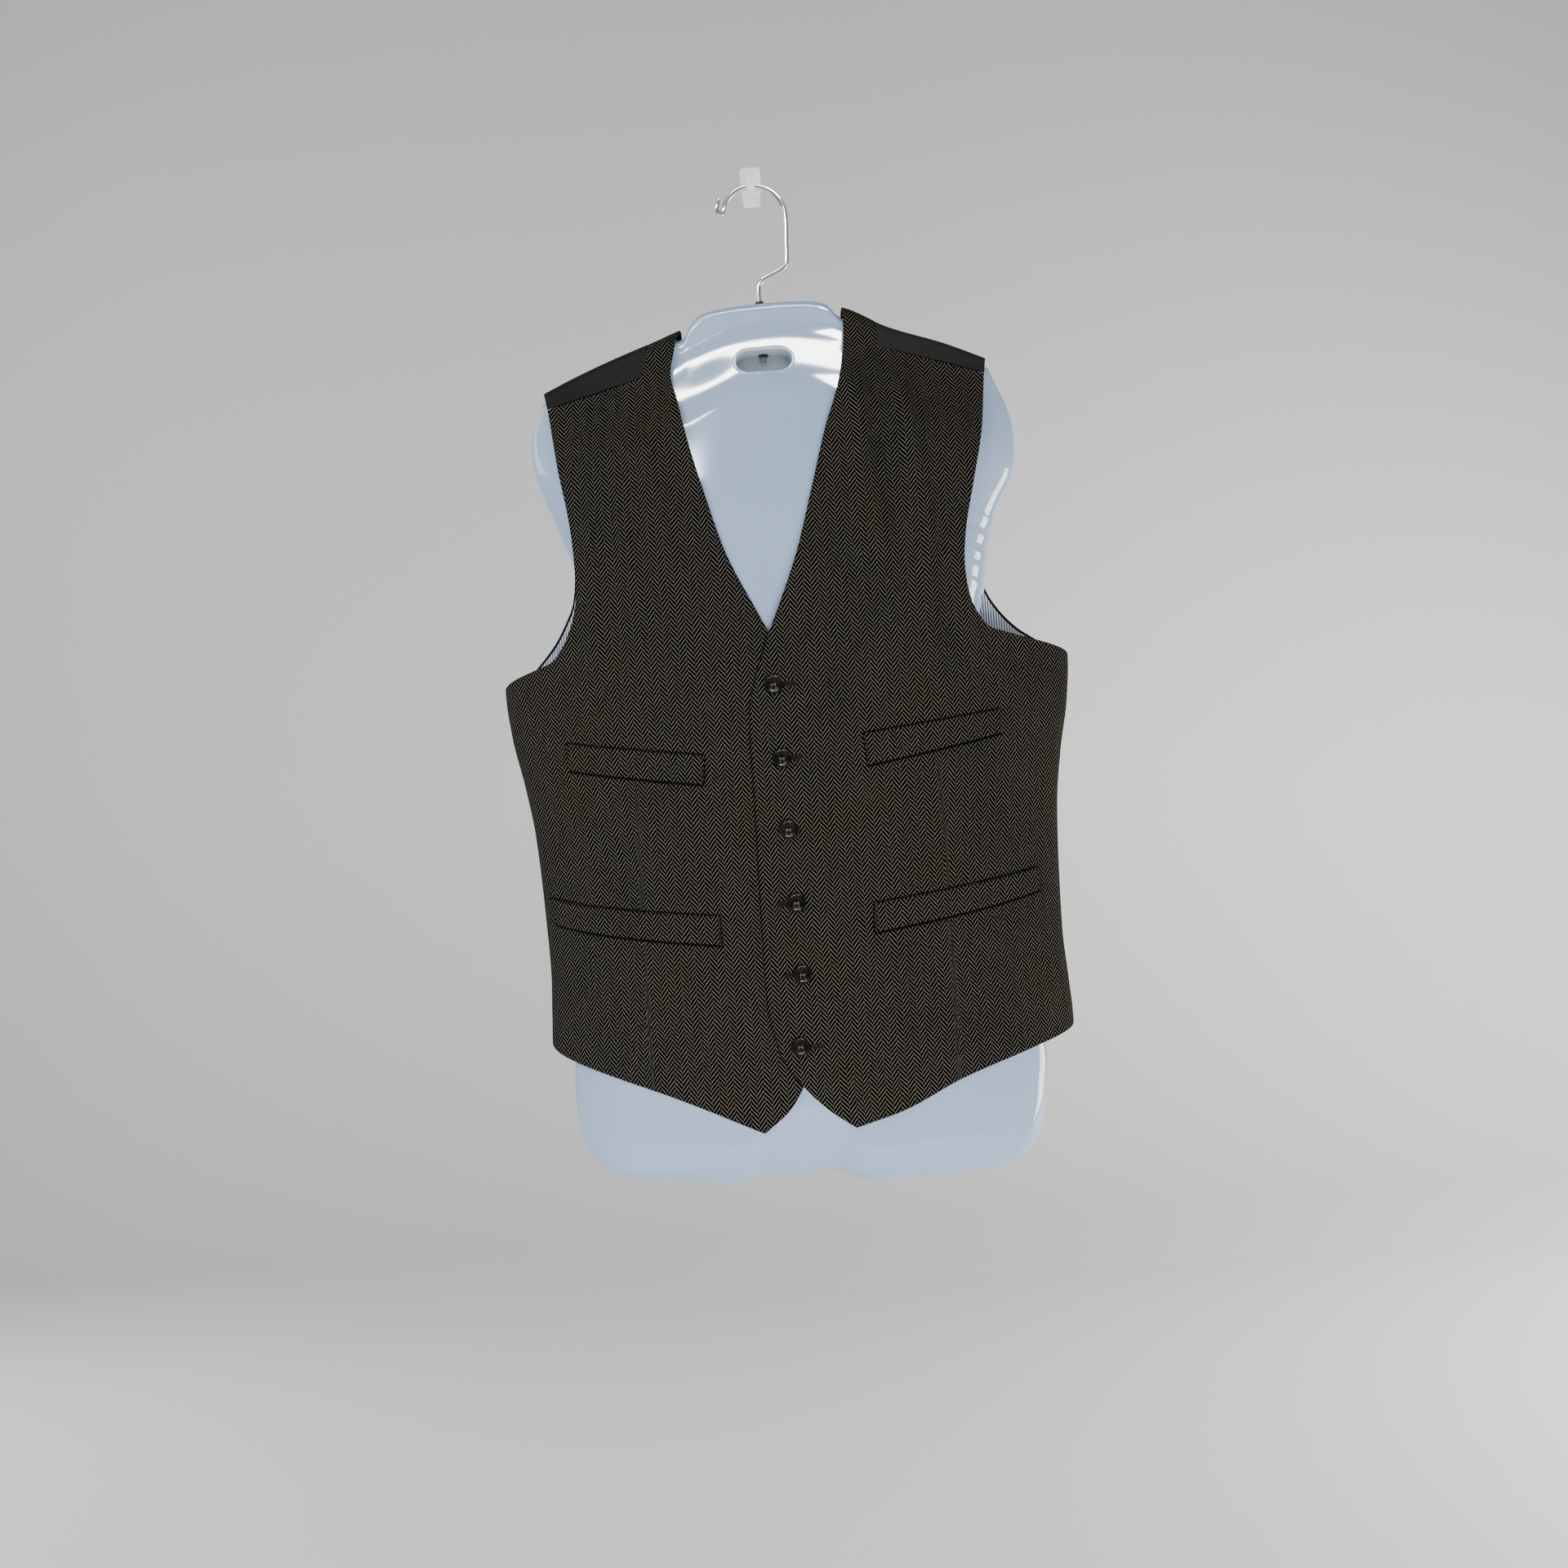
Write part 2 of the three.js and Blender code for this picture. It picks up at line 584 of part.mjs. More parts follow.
// An outline edge with a point of its own at each share
function planEdge(points) {
  const places = points.map(([x, z]) => new THREE.Vector3(x, 0, z));
  const curve = new THREE.CatmullRomCurve3(places, false, 'centripetal');
  curve.arcLengthDivisions = 400;
  return (t) => {
    const place = curve.getPointAt(Math.min(Math.max(t, 0), 1));
    return [place.x, place.z];
  };
}

function quarterRound(distance, radius) {
  const t = 1 - Math.min(Math.max(distance / radius, 0), 1);
  return Math.sqrt(Math.max(1 - t * t, 0));
}

// Shares that crowd towards both ends, where a form rounds off
function crowdedShares(count, crowd) {
  return evenShares(count).map((t) => t - crowd * Math.sin(2 * Math.PI * t) / (2 * Math.PI));
}

function torsoForm() {
  const bottom = planEdge(formOutline.bottom);
  const top = planEdge(formOutline.top);
  const plan = patch(bottom, top, planEdge(formOutline.left), planEdge(formOutline.right));
  const across = crowdedShares(24, FORM_ACROSS_CROWD);
  const up = crowdedShares(28, FORM_UP_CROWD);
  const front = [];
  const rear = [];
  for (const t of up) {
    const [leftX] = plan(0, t);
    const [rightX] = plan(1, t);
    const frontRow = [];
    const rearRow = [];
    for (const s of across) {
      const [x, z] = plan(s, t);
      const fromSide = Math.min(x - leftX, rightX - x);
      const fromTop = Math.max(plan(s, 1)[1] - z, 0);
      const fromBottom = Math.max(z - plan(s, 0)[1], 0);
      const side = quarterRound(fromSide, FORM_SIDE_ROUND);
      const ends = quarterRound(fromTop, FORM_TOP_ROUND) * quarterRound(fromBottom, FORM_BOTTOM_ROUND);
      const edgeHalf = FORM_EDGE_HALF * side * ends;
      const middle = FORM_REAR_Y - FORM_EDGE_HALF;
      const clothFront = clothY(x, z, 1, 1);
      const slopeInset = FORM_SLOPE_INSET * (1 - smoothStep(CROWN_REACH, 2 * CROWN_REACH, ridgeAt(x) - z));
      const wanted = Math.max(middle - FORM_EDGE_HALF - clothFront - FORM_INSET - slopeInset, 0);
      const faceRound = quarterRound(fromSide, FORM_FACE_ROUND) * quarterRound(fromBottom, FORM_FACE_ROUND);
      const face = wanted * faceRound * quarterRound(fromTop, FORM_FACE_ROUND);
      frontRow.push(new THREE.Vector3(x, middle - edgeHalf - face, z));
      rearRow.push(new THREE.Vector3(x, middle + edgeHalf, z));
    }
    front.push(frontRow);
    rear.push(rearRow);
  }
  return wallBetween(front, rear, false);
}

// The slot near the form's neck, where the hook's threaded end is held
const SLOT_WIDTH = 48;
const SLOT_HEIGHT = 23;
const SLOT_Z = -162;
const SLOT_FLOOR_Y = -8.5;
const STEM_Y = -14.5;
const WIRE_RADIUS = 2;
const STEM_CLEARANCE = 0.3;
const STEM_HOLE_SIDES = 12;
const STEM_HOLE_LENGTH = 60;
const SLOT_CUT_DEPTH = 80;

function slotCutter() {
  const radius = SLOT_HEIGHT / 2;
  const reach = SLOT_WIDTH / 2 - radius;
  const shape = new THREE.Shape();
  shape.moveTo(-reach, -radius);
  shape.lineTo(reach, -radius);
  shape.absarc(reach, 0, radius, -Math.PI / 2, Math.PI / 2, false);
  shape.lineTo(-reach, radius);
  shape.absarc(-reach, 0, radius, Math.PI / 2, 1.5 * Math.PI, false);
  const cutter = new THREE.ExtrudeGeometry(shape, {
    depth: SLOT_CUT_DEPTH, bevelEnabled: false, curveSegments: 8,
  });
  cutter.rotateX(Math.PI / 2);
  cutter.translate(0, SLOT_FLOOR_Y, SLOT_Z);
  return cutter;
}

function stemHole() {
  const radius = (WIRE_RADIUS + STEM_CLEARANCE) / Math.cos(Math.PI / STEM_HOLE_SIDES);
  const hole = new THREE.CylinderGeometry(radius, radius, STEM_HOLE_LENGTH, STEM_HOLE_SIDES);
  hole.rotateX(Math.PI / 2);
  hole.translate(0, STEM_Y, SLOT_Z + STEM_HOLE_LENGTH / 2);
  return hole;
}

// The chrome wire hook's middle line: a stem, a step to the side, a straight arm, an arc and a curled end
const STEM_BOTTOM_Z = -158.5;
const STEM_TOP_Z = -112;
const HOOK_TOP_Z = -7.5;
const HOOK_TOP_Y = -9.8;
const wireColumns = ['x', 'z', 'forward'];
const wirePlan = [
  [0, STEM_BOTTOM_Z, 0],
  [0, -140, 0],
  [0, STEM_TOP_Z, 0],
  [0, -97, 0],
  [0.8, -92, 0],
  [4, -87.5, 0],
  [13, -83.2, 0],
  [20, -80, 0],
  [24.6, -75.5, 0],
  [25.8, -68, 0],
  [26.4, -54, 0],
  [27.2, -36, 0],
  [25.6, -25, 0],
  [20.5, -16.5, 0],
  [12.5, -10, 0],
  [0, HOOK_TOP_Z, 0],
  [-9, -8.6, 0],
  [-16.5, -12.8, 0],
  [-22, -19.5, 0.4],
  [-24.8, -27.5, 2],
  [-27.2, -30.8, 4.2],
  [-29.6, -27, 5.6],
  [-28, -18.5, 5.2],
];

function wireHook() {
  const lean = (HOOK_TOP_Y - STEM_Y) / (HOOK_TOP_Z - STEM_TOP_Z);
  const places = wirePlan.map((row) => {
    const [x, z, forward] = wireColumns.map((name) => row[wireColumns.indexOf(name)]);
    return new THREE.Vector3(x, STEM_Y + lean * Math.max(z - STEM_TOP_Z, 0) - forward, z);
  });
  const path = new THREE.CatmullRomCurve3(places, false, 'centripetal');
  const section = new THREE.Shape();
  section.absarc(0, 0, WIRE_RADIUS, 0, 2 * Math.PI, false);
  return new THREE.ExtrudeGeometry(section, { steps: 56, extrudePath: path, curveSegments: 4 });
}

// The nut under the slot's roof and the collar on the form's top
const NUT_RADIUS = 4;
const NUT_HEIGHT = 1.6;
const COLLAR_RADIUS = 3.6;
const COLLAR_HEIGHT = 1.2;
const COLLAR_Z = -107.4;
function ringOnStem(radius, sides, height, topZ) {
  const shape = new THREE.Shape();
  shape.absarc(0, 0, radius, 0, 2 * Math.PI, false);
  const bore = new THREE.Path();
  bore.absarc(0, 0, (WIRE_RADIUS + STEM_CLEARANCE) / Math.cos(Math.PI / sides), 0, 2 * Math.PI, true);
  shape.holes.push(bore);
  const ring = new THREE.ExtrudeGeometry(shape, {
    depth: height, bevelEnabled: false, curveSegments: sides / 2,
  });
  ring.translate(0, STEM_Y, topZ - height);
  return ring;
}

// The wall hook: a rounded base with a tab below it and an upturned finger
const BASE_WIDTH = 17.2;
const BASE_HEIGHT = 21;
const BASE_DEPTH = 5;
const TAB_WIDTH = 15;
const TAB_BOTTOM_Z = -21.4;
const TAB_DEPTH = 0.9;
const FINGER_WIDTH = 7;
const FINGER_WALL = 2.4;
const FINGER_CORNER = 2;
const FINGER_RISE = 0.6;
const BASE_CORNER = 3.2;
const TAB_CORNER = 3;
const FINGER_INNER_BOTTOM = HOOK_TOP_Z - WIRE_RADIUS - 2 * GAP;
const FINGER_FRONT_Y = -16.8;
const FINGER_TIP_Z = 0;

function roundedPlate(width, bottom, top, radius, depth) {
  const half = width / 2;
  const shape = new THREE.Shape();
  shape.moveTo(-half + radius, bottom);
  shape.lineTo(half - radius, bottom);
  shape.absarc(half - radius, bottom + radius, radius, -Math.PI / 2, 0, false);
  shape.lineTo(half, top - radius);
  shape.absarc(half - radius, top - radius, radius, 0, Math.PI / 2, false);
  shape.lineTo(-half + radius, top);
  shape.absarc(-half + radius, top - radius, radius, Math.PI / 2, Math.PI, false);
  shape.lineTo(-half, bottom + radius);
  shape.absarc(-half + radius, bottom + radius, radius, Math.PI, 1.5 * Math.PI, false);
  const plate = new THREE.ExtrudeGeometry(shape, { depth, bevelEnabled: false, curveSegments: 4 });
  plate.rotateX(Math.PI / 2);
  return plate;
}

function finger() {
  const bottom = FINGER_INNER_BOTTOM - FINGER_WALL;
  const shape = new THREE.Shape();
  shape.moveTo(BASE_DEPTH - 1, bottom + FINGER_RISE);
  shape.lineTo(-FINGER_FRONT_Y - FINGER_CORNER, bottom);
  shape.lineTo(-FINGER_FRONT_Y, bottom + FINGER_CORNER);
  shape.lineTo(-FINGER_FRONT_Y, FINGER_TIP_Z);
  shape.lineTo(-FINGER_FRONT_Y - FINGER_WALL, FINGER_TIP_Z);
  shape.lineTo(-FINGER_FRONT_Y - FINGER_WALL, FINGER_INNER_BOTTOM);
  shape.lineTo(BASE_DEPTH - 1, FINGER_INNER_BOTTOM);
  const solid = new THREE.ExtrudeGeometry(shape, { depth: FINGER_WIDTH, bevelEnabled: false });
  solid.rotateX(Math.PI / 2);
  solid.rotateZ(-Math.PI / 2);
  solid.translate(FINGER_WIDTH / 2, 0, 0);
  return solid;
}

const part = new THREE.Group();

function addPiece(name, geometry, colour, roughness, metalness = 0) {
  const material = new THREE.MeshStandardMaterial({ color: colour, roughness, metalness });
  const mesh = new THREE.Mesh(geometry, material);
  mesh.name = name;
  part.add(mesh);
  return mesh;
}

const TWEED = 0x3a342e;
const CHARCOAL = 0x2a2728;
const STRIPED = 0xc9d2e4;
const PALE_BLUE = 0xa6b6ce;
const HORN = 0x1c1714;
const CHROME = 0xc8c9cc;
const WHITE = 0xeeedf0;

const flush = () => 0;
addPiece('front_right', clothPanel({
  face: 1, domain: frontDomain(rightFront), across: frontAcross, up: frontUp, wall: TWEED_WALL, lift: flush,
}), TWEED, 0.95);
addPiece('front_left', clothPanel({
  face: 1, domain: frontDomain(leftFront), across: frontAcross, up: frontUp, wall: TWEED_WALL, lift: lapLift,
}), TWEED, 0.95);

for (const which of ['right', 'left']) {
  addPiece(`back_${which}`, clothPanel({
    face: -1, domain: backDomain(which), across: backAcross, up: backUp, wall: BACK_WALL, lift: flush,
  }), CHARCOAL, 0.5);
  addPiece(`neck_band_${which}`, clothPanel({
    face: -1, domain: bandDomain(which), across: neckShares, up: evenShares(2), wall: TWEED_WALL,
    lift: flush,
  }), TWEED, 0.95);
  addPiece(`back_lining_${which}`, clothPanel({
    face: -1, domain: liningDomain(which), across: evenShares(6), up: evenShares(14),
    wall: LINING_WALL, lift: () => -BACK_WALL - LINING_LIFT,
  }), STRIPED, 0.55);
}

for (const row of welts) {
  addPiece(row[0], clothPanel({
    face: 1, domain: weltDomain(row), across: evenShares(9), up: evenShares(2), wall: WELT_WALL,
    lift: () => WELT_LIFT + WELT_WALL,
  }), TWEED, 0.95);
}

buttonPlaces.forEach(([x, z], index) => {
  const [a, b] = onSheet(x, z);
  const normal = sheetNormal(1, a, b);
  const button = addPiece(`button_${index + 1}`, buttonGeometry(), HORN, 0.35);
  button.position.copy(sheetPoint(1, a, b)).addScaledVector(normal, LAP_LIFT + BUTTON_LIFT);
  button.quaternion.setFromUnitVectors(new THREE.Vector3(0, 1, 0), normal);
});

const form = solidOf(torsoForm()).subtract(solidOf(slotCutter())).subtract(solidOf(stemHole()));
addPiece('torso_form', geometryOf(form), PALE_BLUE, 0.18);
addPiece('hook_wire', wireHook(), CHROME, 0.15, 1);
addPiece('hook_nut', ringOnStem(NUT_RADIUS, 6, NUT_HEIGHT, SLOT_Z + SLOT_HEIGHT / 2 - GAP), CHROME, 0.4, 1);
addPiece('hook_collar', ringOnStem(COLLAR_RADIUS, 12, COLLAR_HEIGHT, COLLAR_Z + COLLAR_HEIGHT), HORN, 0.4, 1);

const base = solidOf(roundedPlate(BASE_WIDTH, -BASE_HEIGHT / 2, BASE_HEIGHT / 2, BASE_CORNER, BASE_DEPTH));
const tab = solidOf(roundedPlate(TAB_WIDTH, TAB_BOTTOM_Z, 0, TAB_CORNER, TAB_DEPTH));
addPiece('wall_hook', geometryOf(base.add(tab).add(solidOf(finger()))), WHITE, 0.35);

export default part;
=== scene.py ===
# %% [markdown]
# # A tweed suit waistcoat on its hanging torso form
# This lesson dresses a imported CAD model. The CAD solids have the right outlines, but their walls are too
# coarse for a close look. So each cloth panel is rebuilt with a finer grid on the same worn surface, and
# then the sewing, the buttons, the moulded form and the metal hook are added.
# Lengths in the tables are millimetres. +Z is up, the wall hook's back is at y = 0, the fronts face -Y.

import json
import math

import bmesh
import bpy
import numpy as np
from mathutils import Matrix, Vector
from mathutils.bvhtree import BVHTree


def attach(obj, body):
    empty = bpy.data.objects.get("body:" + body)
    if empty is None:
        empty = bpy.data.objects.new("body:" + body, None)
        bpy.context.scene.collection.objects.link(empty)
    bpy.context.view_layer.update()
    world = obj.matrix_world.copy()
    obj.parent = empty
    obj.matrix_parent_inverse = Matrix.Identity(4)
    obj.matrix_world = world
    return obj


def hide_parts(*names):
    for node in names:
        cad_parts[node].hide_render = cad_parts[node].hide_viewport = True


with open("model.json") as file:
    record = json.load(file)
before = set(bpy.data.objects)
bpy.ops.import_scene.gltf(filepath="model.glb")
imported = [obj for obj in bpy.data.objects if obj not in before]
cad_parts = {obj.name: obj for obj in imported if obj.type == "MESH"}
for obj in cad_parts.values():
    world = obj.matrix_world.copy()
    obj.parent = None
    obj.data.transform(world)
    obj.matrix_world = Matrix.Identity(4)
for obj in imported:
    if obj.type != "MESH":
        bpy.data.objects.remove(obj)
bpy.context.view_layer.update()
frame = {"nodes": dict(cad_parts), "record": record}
MM = 0.001
print("nodes in the frame:", len(frame["nodes"]))

# %% [markdown]
# ## The worn surface
# The cloth follows a shallow D section that changes with height, with a fold down each side and a fold
# over the shoulders. A place on it is an angle round the section and a height that runs on over the fold.
# A loft through drawn rings would do as well. A table of heights is easier to measure and to change.

# %% Sizes of the worn surface
TWEED_WALL = 2.2
BACK_WALL = 1.2
LINING_WALL = 1.0
LINING_LIFT = 0.4
WELT_WALL = 1.8
WELT_LIFT = 0.5
GAP = 0.3
BACK_Y = -1.5
SHOULDER_RADIUS = 13.0
FOLD_ROUNDNESS = 60
CROWN_WIDTH_POWER = 2.4
CROWN_DEPTH_POWER = 1.25
CROWN_REACH = 90.0
SEAM_ANGLE = 1.85
DOMAIN_SCALE = 200.0
WIDTH_FIXED_Z = -100.0
QUARTER = math.pi / 2

# height, half width, half depth of the side fold, depth of the front's crown
rings = np.array(
    [
        (-850, 214, 6, 60),
        (-720, 219.5, 6, 60),
        (-690, 218, 6, 60),
        (-650, 216, 6, 59),
        (-600, 217, 6, 58),
        (-540, 220, 6, 58),
        (-497, 226, 6, 60),
        (-455, 234, 6, 62),
        (-420, 237, 6.5, 62),
        (-390, 237, 7.5, 60),
        (-340, 237, 10, 54),
        (-290, 237, 12, 46),
        (-240, 237, 13, 38),
        (-190, 237, 13, 30),
        (-100, 237, 13, 22),
    ],
    float,
)
ridge_line = np.array(
    [
        (-205, -180),
        (-190, -172.5),
        (-155, -157),
        (-125, -145.5),
        (-92, -134),
        (-67, -125),
        (0, -104),
        (68, -116),
        (105, -135),
        (151, -152),
        (187, -168.3),
        (205, -177),
    ],
    float,
)


# %% [markdown]
# ### Smooth curves through measured rows
# The width and depth were measured at a few heights. A tailor's curve joins such marks without wiggles.
# A curve object could do it too, but a short function gives exact values at any height and never swings
# past a measured row.

# %% Curves through tables
def column_curve(at, value):
    """A smooth curve through a table's column, with no overshoot between its rows."""
    width = np.diff(at)
    rise = np.diff(value) / width
    slope = np.concatenate(([rise[0]], np.zeros(len(at) - 2), [rise[-1]]))
    for i in range(1, len(at) - 1):
        if rise[i - 1] * rise[i] > 0:
            left = 2 * width[i] + width[i - 1]
            right = width[i] + 2 * width[i - 1]
            slope[i] = (left + right) / (left / rise[i - 1] + right / rise[i])

    def curve(place):
        x = np.clip(place, at[0], at[-1])
        i = np.clip(np.searchsorted(at, x, side="right") - 1, 0, len(at) - 2)
        t = (x - at[i]) / width[i]
        ease = t * t * (3 - 2 * t)
        leave = t * (1 - t) ** 2 * width[i] * slope[i]
        arrive = t * t * (t - 1) * width[i] * slope[i + 1]
        return (1 - ease) * value[i] + ease * value[i + 1] + leave + arrive

    return curve


half_width = column_curve(rings[:, 0], rings[:, 1])
fold_half = column_curve(rings[:, 0], rings[:, 2])
crown_depth = column_curve(rings[:, 0], rings[:, 3])
ridge = column_curve(ridge_line[:, 0], ridge_line[:, 1])


def smooth_step(start, end, value):
    t = np.clip((value - start) / (end - start), 0, 1)
    return t * t * (3 - 2 * t)


def bell(value, width):
    return np.exp(-((value / width) ** 2))


# %% [markdown]
# ### From angle and height to a place
# Worn cloth rounds each side and runs over the shoulders in one sheet. A cloth simulation could find that
# shape, at the cost of a different result each time. Here a formula bends the plan round the sides and
# over the ridge, and the same formula gives the cloth's normals and the lengths along it.

# %% Places on the worn surface
def cloth_y(x, z, face, over):
    """Depth of the cloth's outer face: face is 1 in front and -1 behind, over fades at the shoulder."""
    u = np.minimum(np.abs(x) / half_width(z), 1)
    fold = fold_half(z)
    side = np.sqrt(1 - u**FOLD_ROUNDNESS)
    crown_shape = (1 - u**CROWN_WIDTH_POWER) ** (1 / CROWN_DEPTH_POWER)
    reach = smooth_step(0, CROWN_REACH, ridge(x) - z)
    crown = np.where(face > 0, crown_depth(z) * crown_shape * reach, 0)
    return BACK_Y - fold - face * fold * side * over - crown


def sheet_points(face, a, b):
    """Points of the front (face 1) or back sheet at angles a and heights b."""
    x = half_width(np.minimum(b, WIDTH_FIXED_Z)) * np.sin(a)
    start = ridge(x) - SHOULDER_RADIUS
    turn = np.maximum(b - start, 0) / SHOULDER_RADIUS
    up_face = np.where(np.abs(a) > QUARTER, -face, face)
    on_fold = start + SHOULDER_RADIUS * np.sin(np.minimum(turn, math.pi))
    past = start - (turn - math.pi) * SHOULDER_RADIUS
    z = np.where(turn <= 0, b, np.where(turn < math.pi, on_fold, past))
    over = np.where(turn < math.pi, np.cos(turn), -1)
    seen = np.where(over >= 0, up_face, -up_face)
    y = cloth_y(x, z, seen, np.abs(over))
    return np.stack([x, y, z], -1)


def sheet_normals(face, a, b):
    small_a, small_b = 0.001, 0.1
    across = sheet_points(face, a + small_a, b) - sheet_points(face, a - small_a, b)
    up = sheet_points(face, a, b + small_b) - sheet_points(face, a, b - small_b)
    normal = np.cross(across, up) * face
    return normal / np.linalg.norm(normal, axis=-1, keepdims=True)


def on_sheet(x, z):
    return (math.asin(x / float(half_width(z))), z)


def at_ridge(x, past):
    top = float(ridge(x)) + SHOULDER_RADIUS * (QUARTER - 1) + past
    return (math.asin(x / float(half_width(WIDTH_FIXED_Z))), top)


def cloth_lengths(face, a, b):
    """Lengths along the cloth across and up from its middle, where the weave is laid out flat."""
    steps = np.linspace(0, 1, 49)
    around = a[..., None] * steps
    path = sheet_points(face, around, np.broadcast_to(b[..., None], around.shape))
    along = np.linalg.norm(np.diff(path, axis=-2), axis=-1).sum(-1) * np.sign(a)
    low = -450.0
    rise = low + (b[..., None] - low) * steps
    path = sheet_points(face, np.broadcast_to(a[..., None], rise.shape), rise)
    height = np.linalg.norm(np.diff(path, axis=-2), axis=-1).sum(-1) * np.sign(b - low)
    return along, height


print("crown at the waist:", round(float(crown_depth(-600)), 1), "mm")

# %% [markdown]
# ## Outlines
# A pattern piece is drawn as corners with sweeps between them. Here a panel's four edges are smooth curves
# through measured places. A patch between them gives every point inside the panel two shares, one across
# and one up, which keeps the grid even where a fill of triangles would not be.

# %% Edge curves and patches
SAMPLES = 40


def catmull(points):
    """Dense points along a centripetal Catmull-Rom curve, and the share of its length at each."""
    points = np.array(points, float)
    ends = (2 * points[0] - points[1], 2 * points[-1] - points[-2])
    track = np.vstack([ends[0], points, ends[1]])
    t = np.linspace(0, 1, SAMPLES, endpoint=False)[:, None]
    pieces = []
    for i in range(len(points) - 1):
        p0, p1, p2, p3 = track[i : i + 4]
        d0, d1, d2 = (max(np.linalg.norm(q - p) ** 0.5, 1e-4) for p, q in ((p0, p1), (p1, p2), (p2, p3)))
        m1 = ((p1 - p0) / d0 - (p2 - p0) / (d0 + d1) + (p2 - p1) / d1) * d1
        m2 = ((p2 - p1) / d1 - (p3 - p1) / (d1 + d2) + (p3 - p2) / d2) * d1
        bend = -3 * p1 + 3 * p2 - 2 * m1 - m2
        twist = 2 * p1 - 2 * p2 + m1 + m2
        pieces.append(p1 + m1 * t + bend * t**2 + twist * t**3)
    dense = np.vstack([*pieces, points[-1:]])
    run = np.concatenate(([0], np.cumsum(np.linalg.norm(np.diff(dense, axis=0), axis=1))))
    return dense, run / run[-1]


def stretch(points):
    """One smooth stretch of an outline, run at even speed."""
    dense, share = catmull([(a * DOMAIN_SCALE, b) for a, b in points])

    def curve(t):
        t = np.clip(t, 0, 1)
        columns = [np.interp(t, share, dense[:, k]) for k in (0, 1)]
        return np.stack([columns[0] / DOMAIN_SCALE, columns[1]], -1)

    return curve


def edge(stretches):
    """An outline edge of several stretches, each with the share of the edge where it ends."""
    parts = [(to, stretch(points)) for to, points in stretches]

    def curve(t):
        t = np.asarray(t, float)
        result = np.zeros((*t.shape, 2))
        start = 0.0
        for to, part in parts:
            mine = (t >= start) & (t <= to)
            result[mine] = part((t[mine] - start) / (to - start))
            start = to
        return result

    return curve


def patch(bottom, top, left, right):
    """A four-edged patch: a function of the shares across and up that gives a grid."""

    def grid(across, up):
        s = np.asarray(across)[None, :, None]
        t = np.asarray(up)[:, None, None]
        low, high = bottom(np.asarray(across))[None], top(np.asarray(across))[None]
        near, far = left(np.asarray(up))[:, None], right(np.asarray(up))[:, None]
        c00, c10, c01, c11 = (f(np.array([k]))[0] for f in (bottom, top) for k in (0.0, 1.0))
        lower = (1 - s) * c00 + s * c10
        upper = (1 - s) * c01 + s * c11
        return (1 - t) * (low - lower) + t * (high - upper) + (1 - s) * near + s * far

    return grid


# %% [markdown]
# ### The fronts' outlines
# Each front runs from a pointed hem round the side, up the armhole and past the shoulder in a narrow
# extension beside the neck. Its corners and sweeps are places in the plan, measured from the hook, so a
# single place can be moved without touching the others.

# %% Front outlines
NECK_END = 0.2
SIDE_SEAM_MIDDLE_Z = -560


def places(*pairs):
    return [on_sheet(x, z) for x, z in pairs]


left_front = {
    "hem": places((29, -788.5), (68.5, -778.4), (119, -757.5), (172.4, -742.7), (203, -735))
    + [(QUARTER, -728), (SEAM_ANGLE, -727)],
    "inner": [
        (0.1, places((29, -788.5), (9.1, -773.4), (-11, -752.2), (-26.5, -728))),
        (
            0.55,
            places((-26.5, -728), (-34, -690), (-34.3, -601), (-33, -535.5), (-32.6, -480))
            + places((-30.8, -443.5), (-14.8, -395.5)),
        ),
        (
            1,
            places((-14.8, -395.5), (13.6, -328.8), (29.9, -276.7), (45.8, -223.6), (55.9, -196.6))
            + places((63.9, -167), (67.5, -140))
            + [at_ridge(68.1, -NECK_END)],
        ),
    ],
    "outer": [
        (0.5, [(SEAM_ANGLE, -727), (SEAM_ANGLE, SIDE_SEAM_MIDDLE_Z), (SEAM_ANGLE, -424)]),
        (
            0.82,
            [(SEAM_ANGLE, -424), (QUARTER, -420.5)]
            + places((207, -415.5), (173.6, -400.4), (156, -379), (149.7, -349.9), (153.5, -315))
            + places((163, -276), (174.4, -229.1), (181.4, -183)),
        ),
        (0.93, places((181.4, -183), (138.1, -168.8), (94.9, -155.9))),
        (1, places((94.9, -155.9), (94.5, -147)) + [at_ridge(94.4, -NECK_END)]),
    ],
    "neck_top": [at_ridge(68.1, -NECK_END), at_ridge(94.4, -NECK_END)],
}

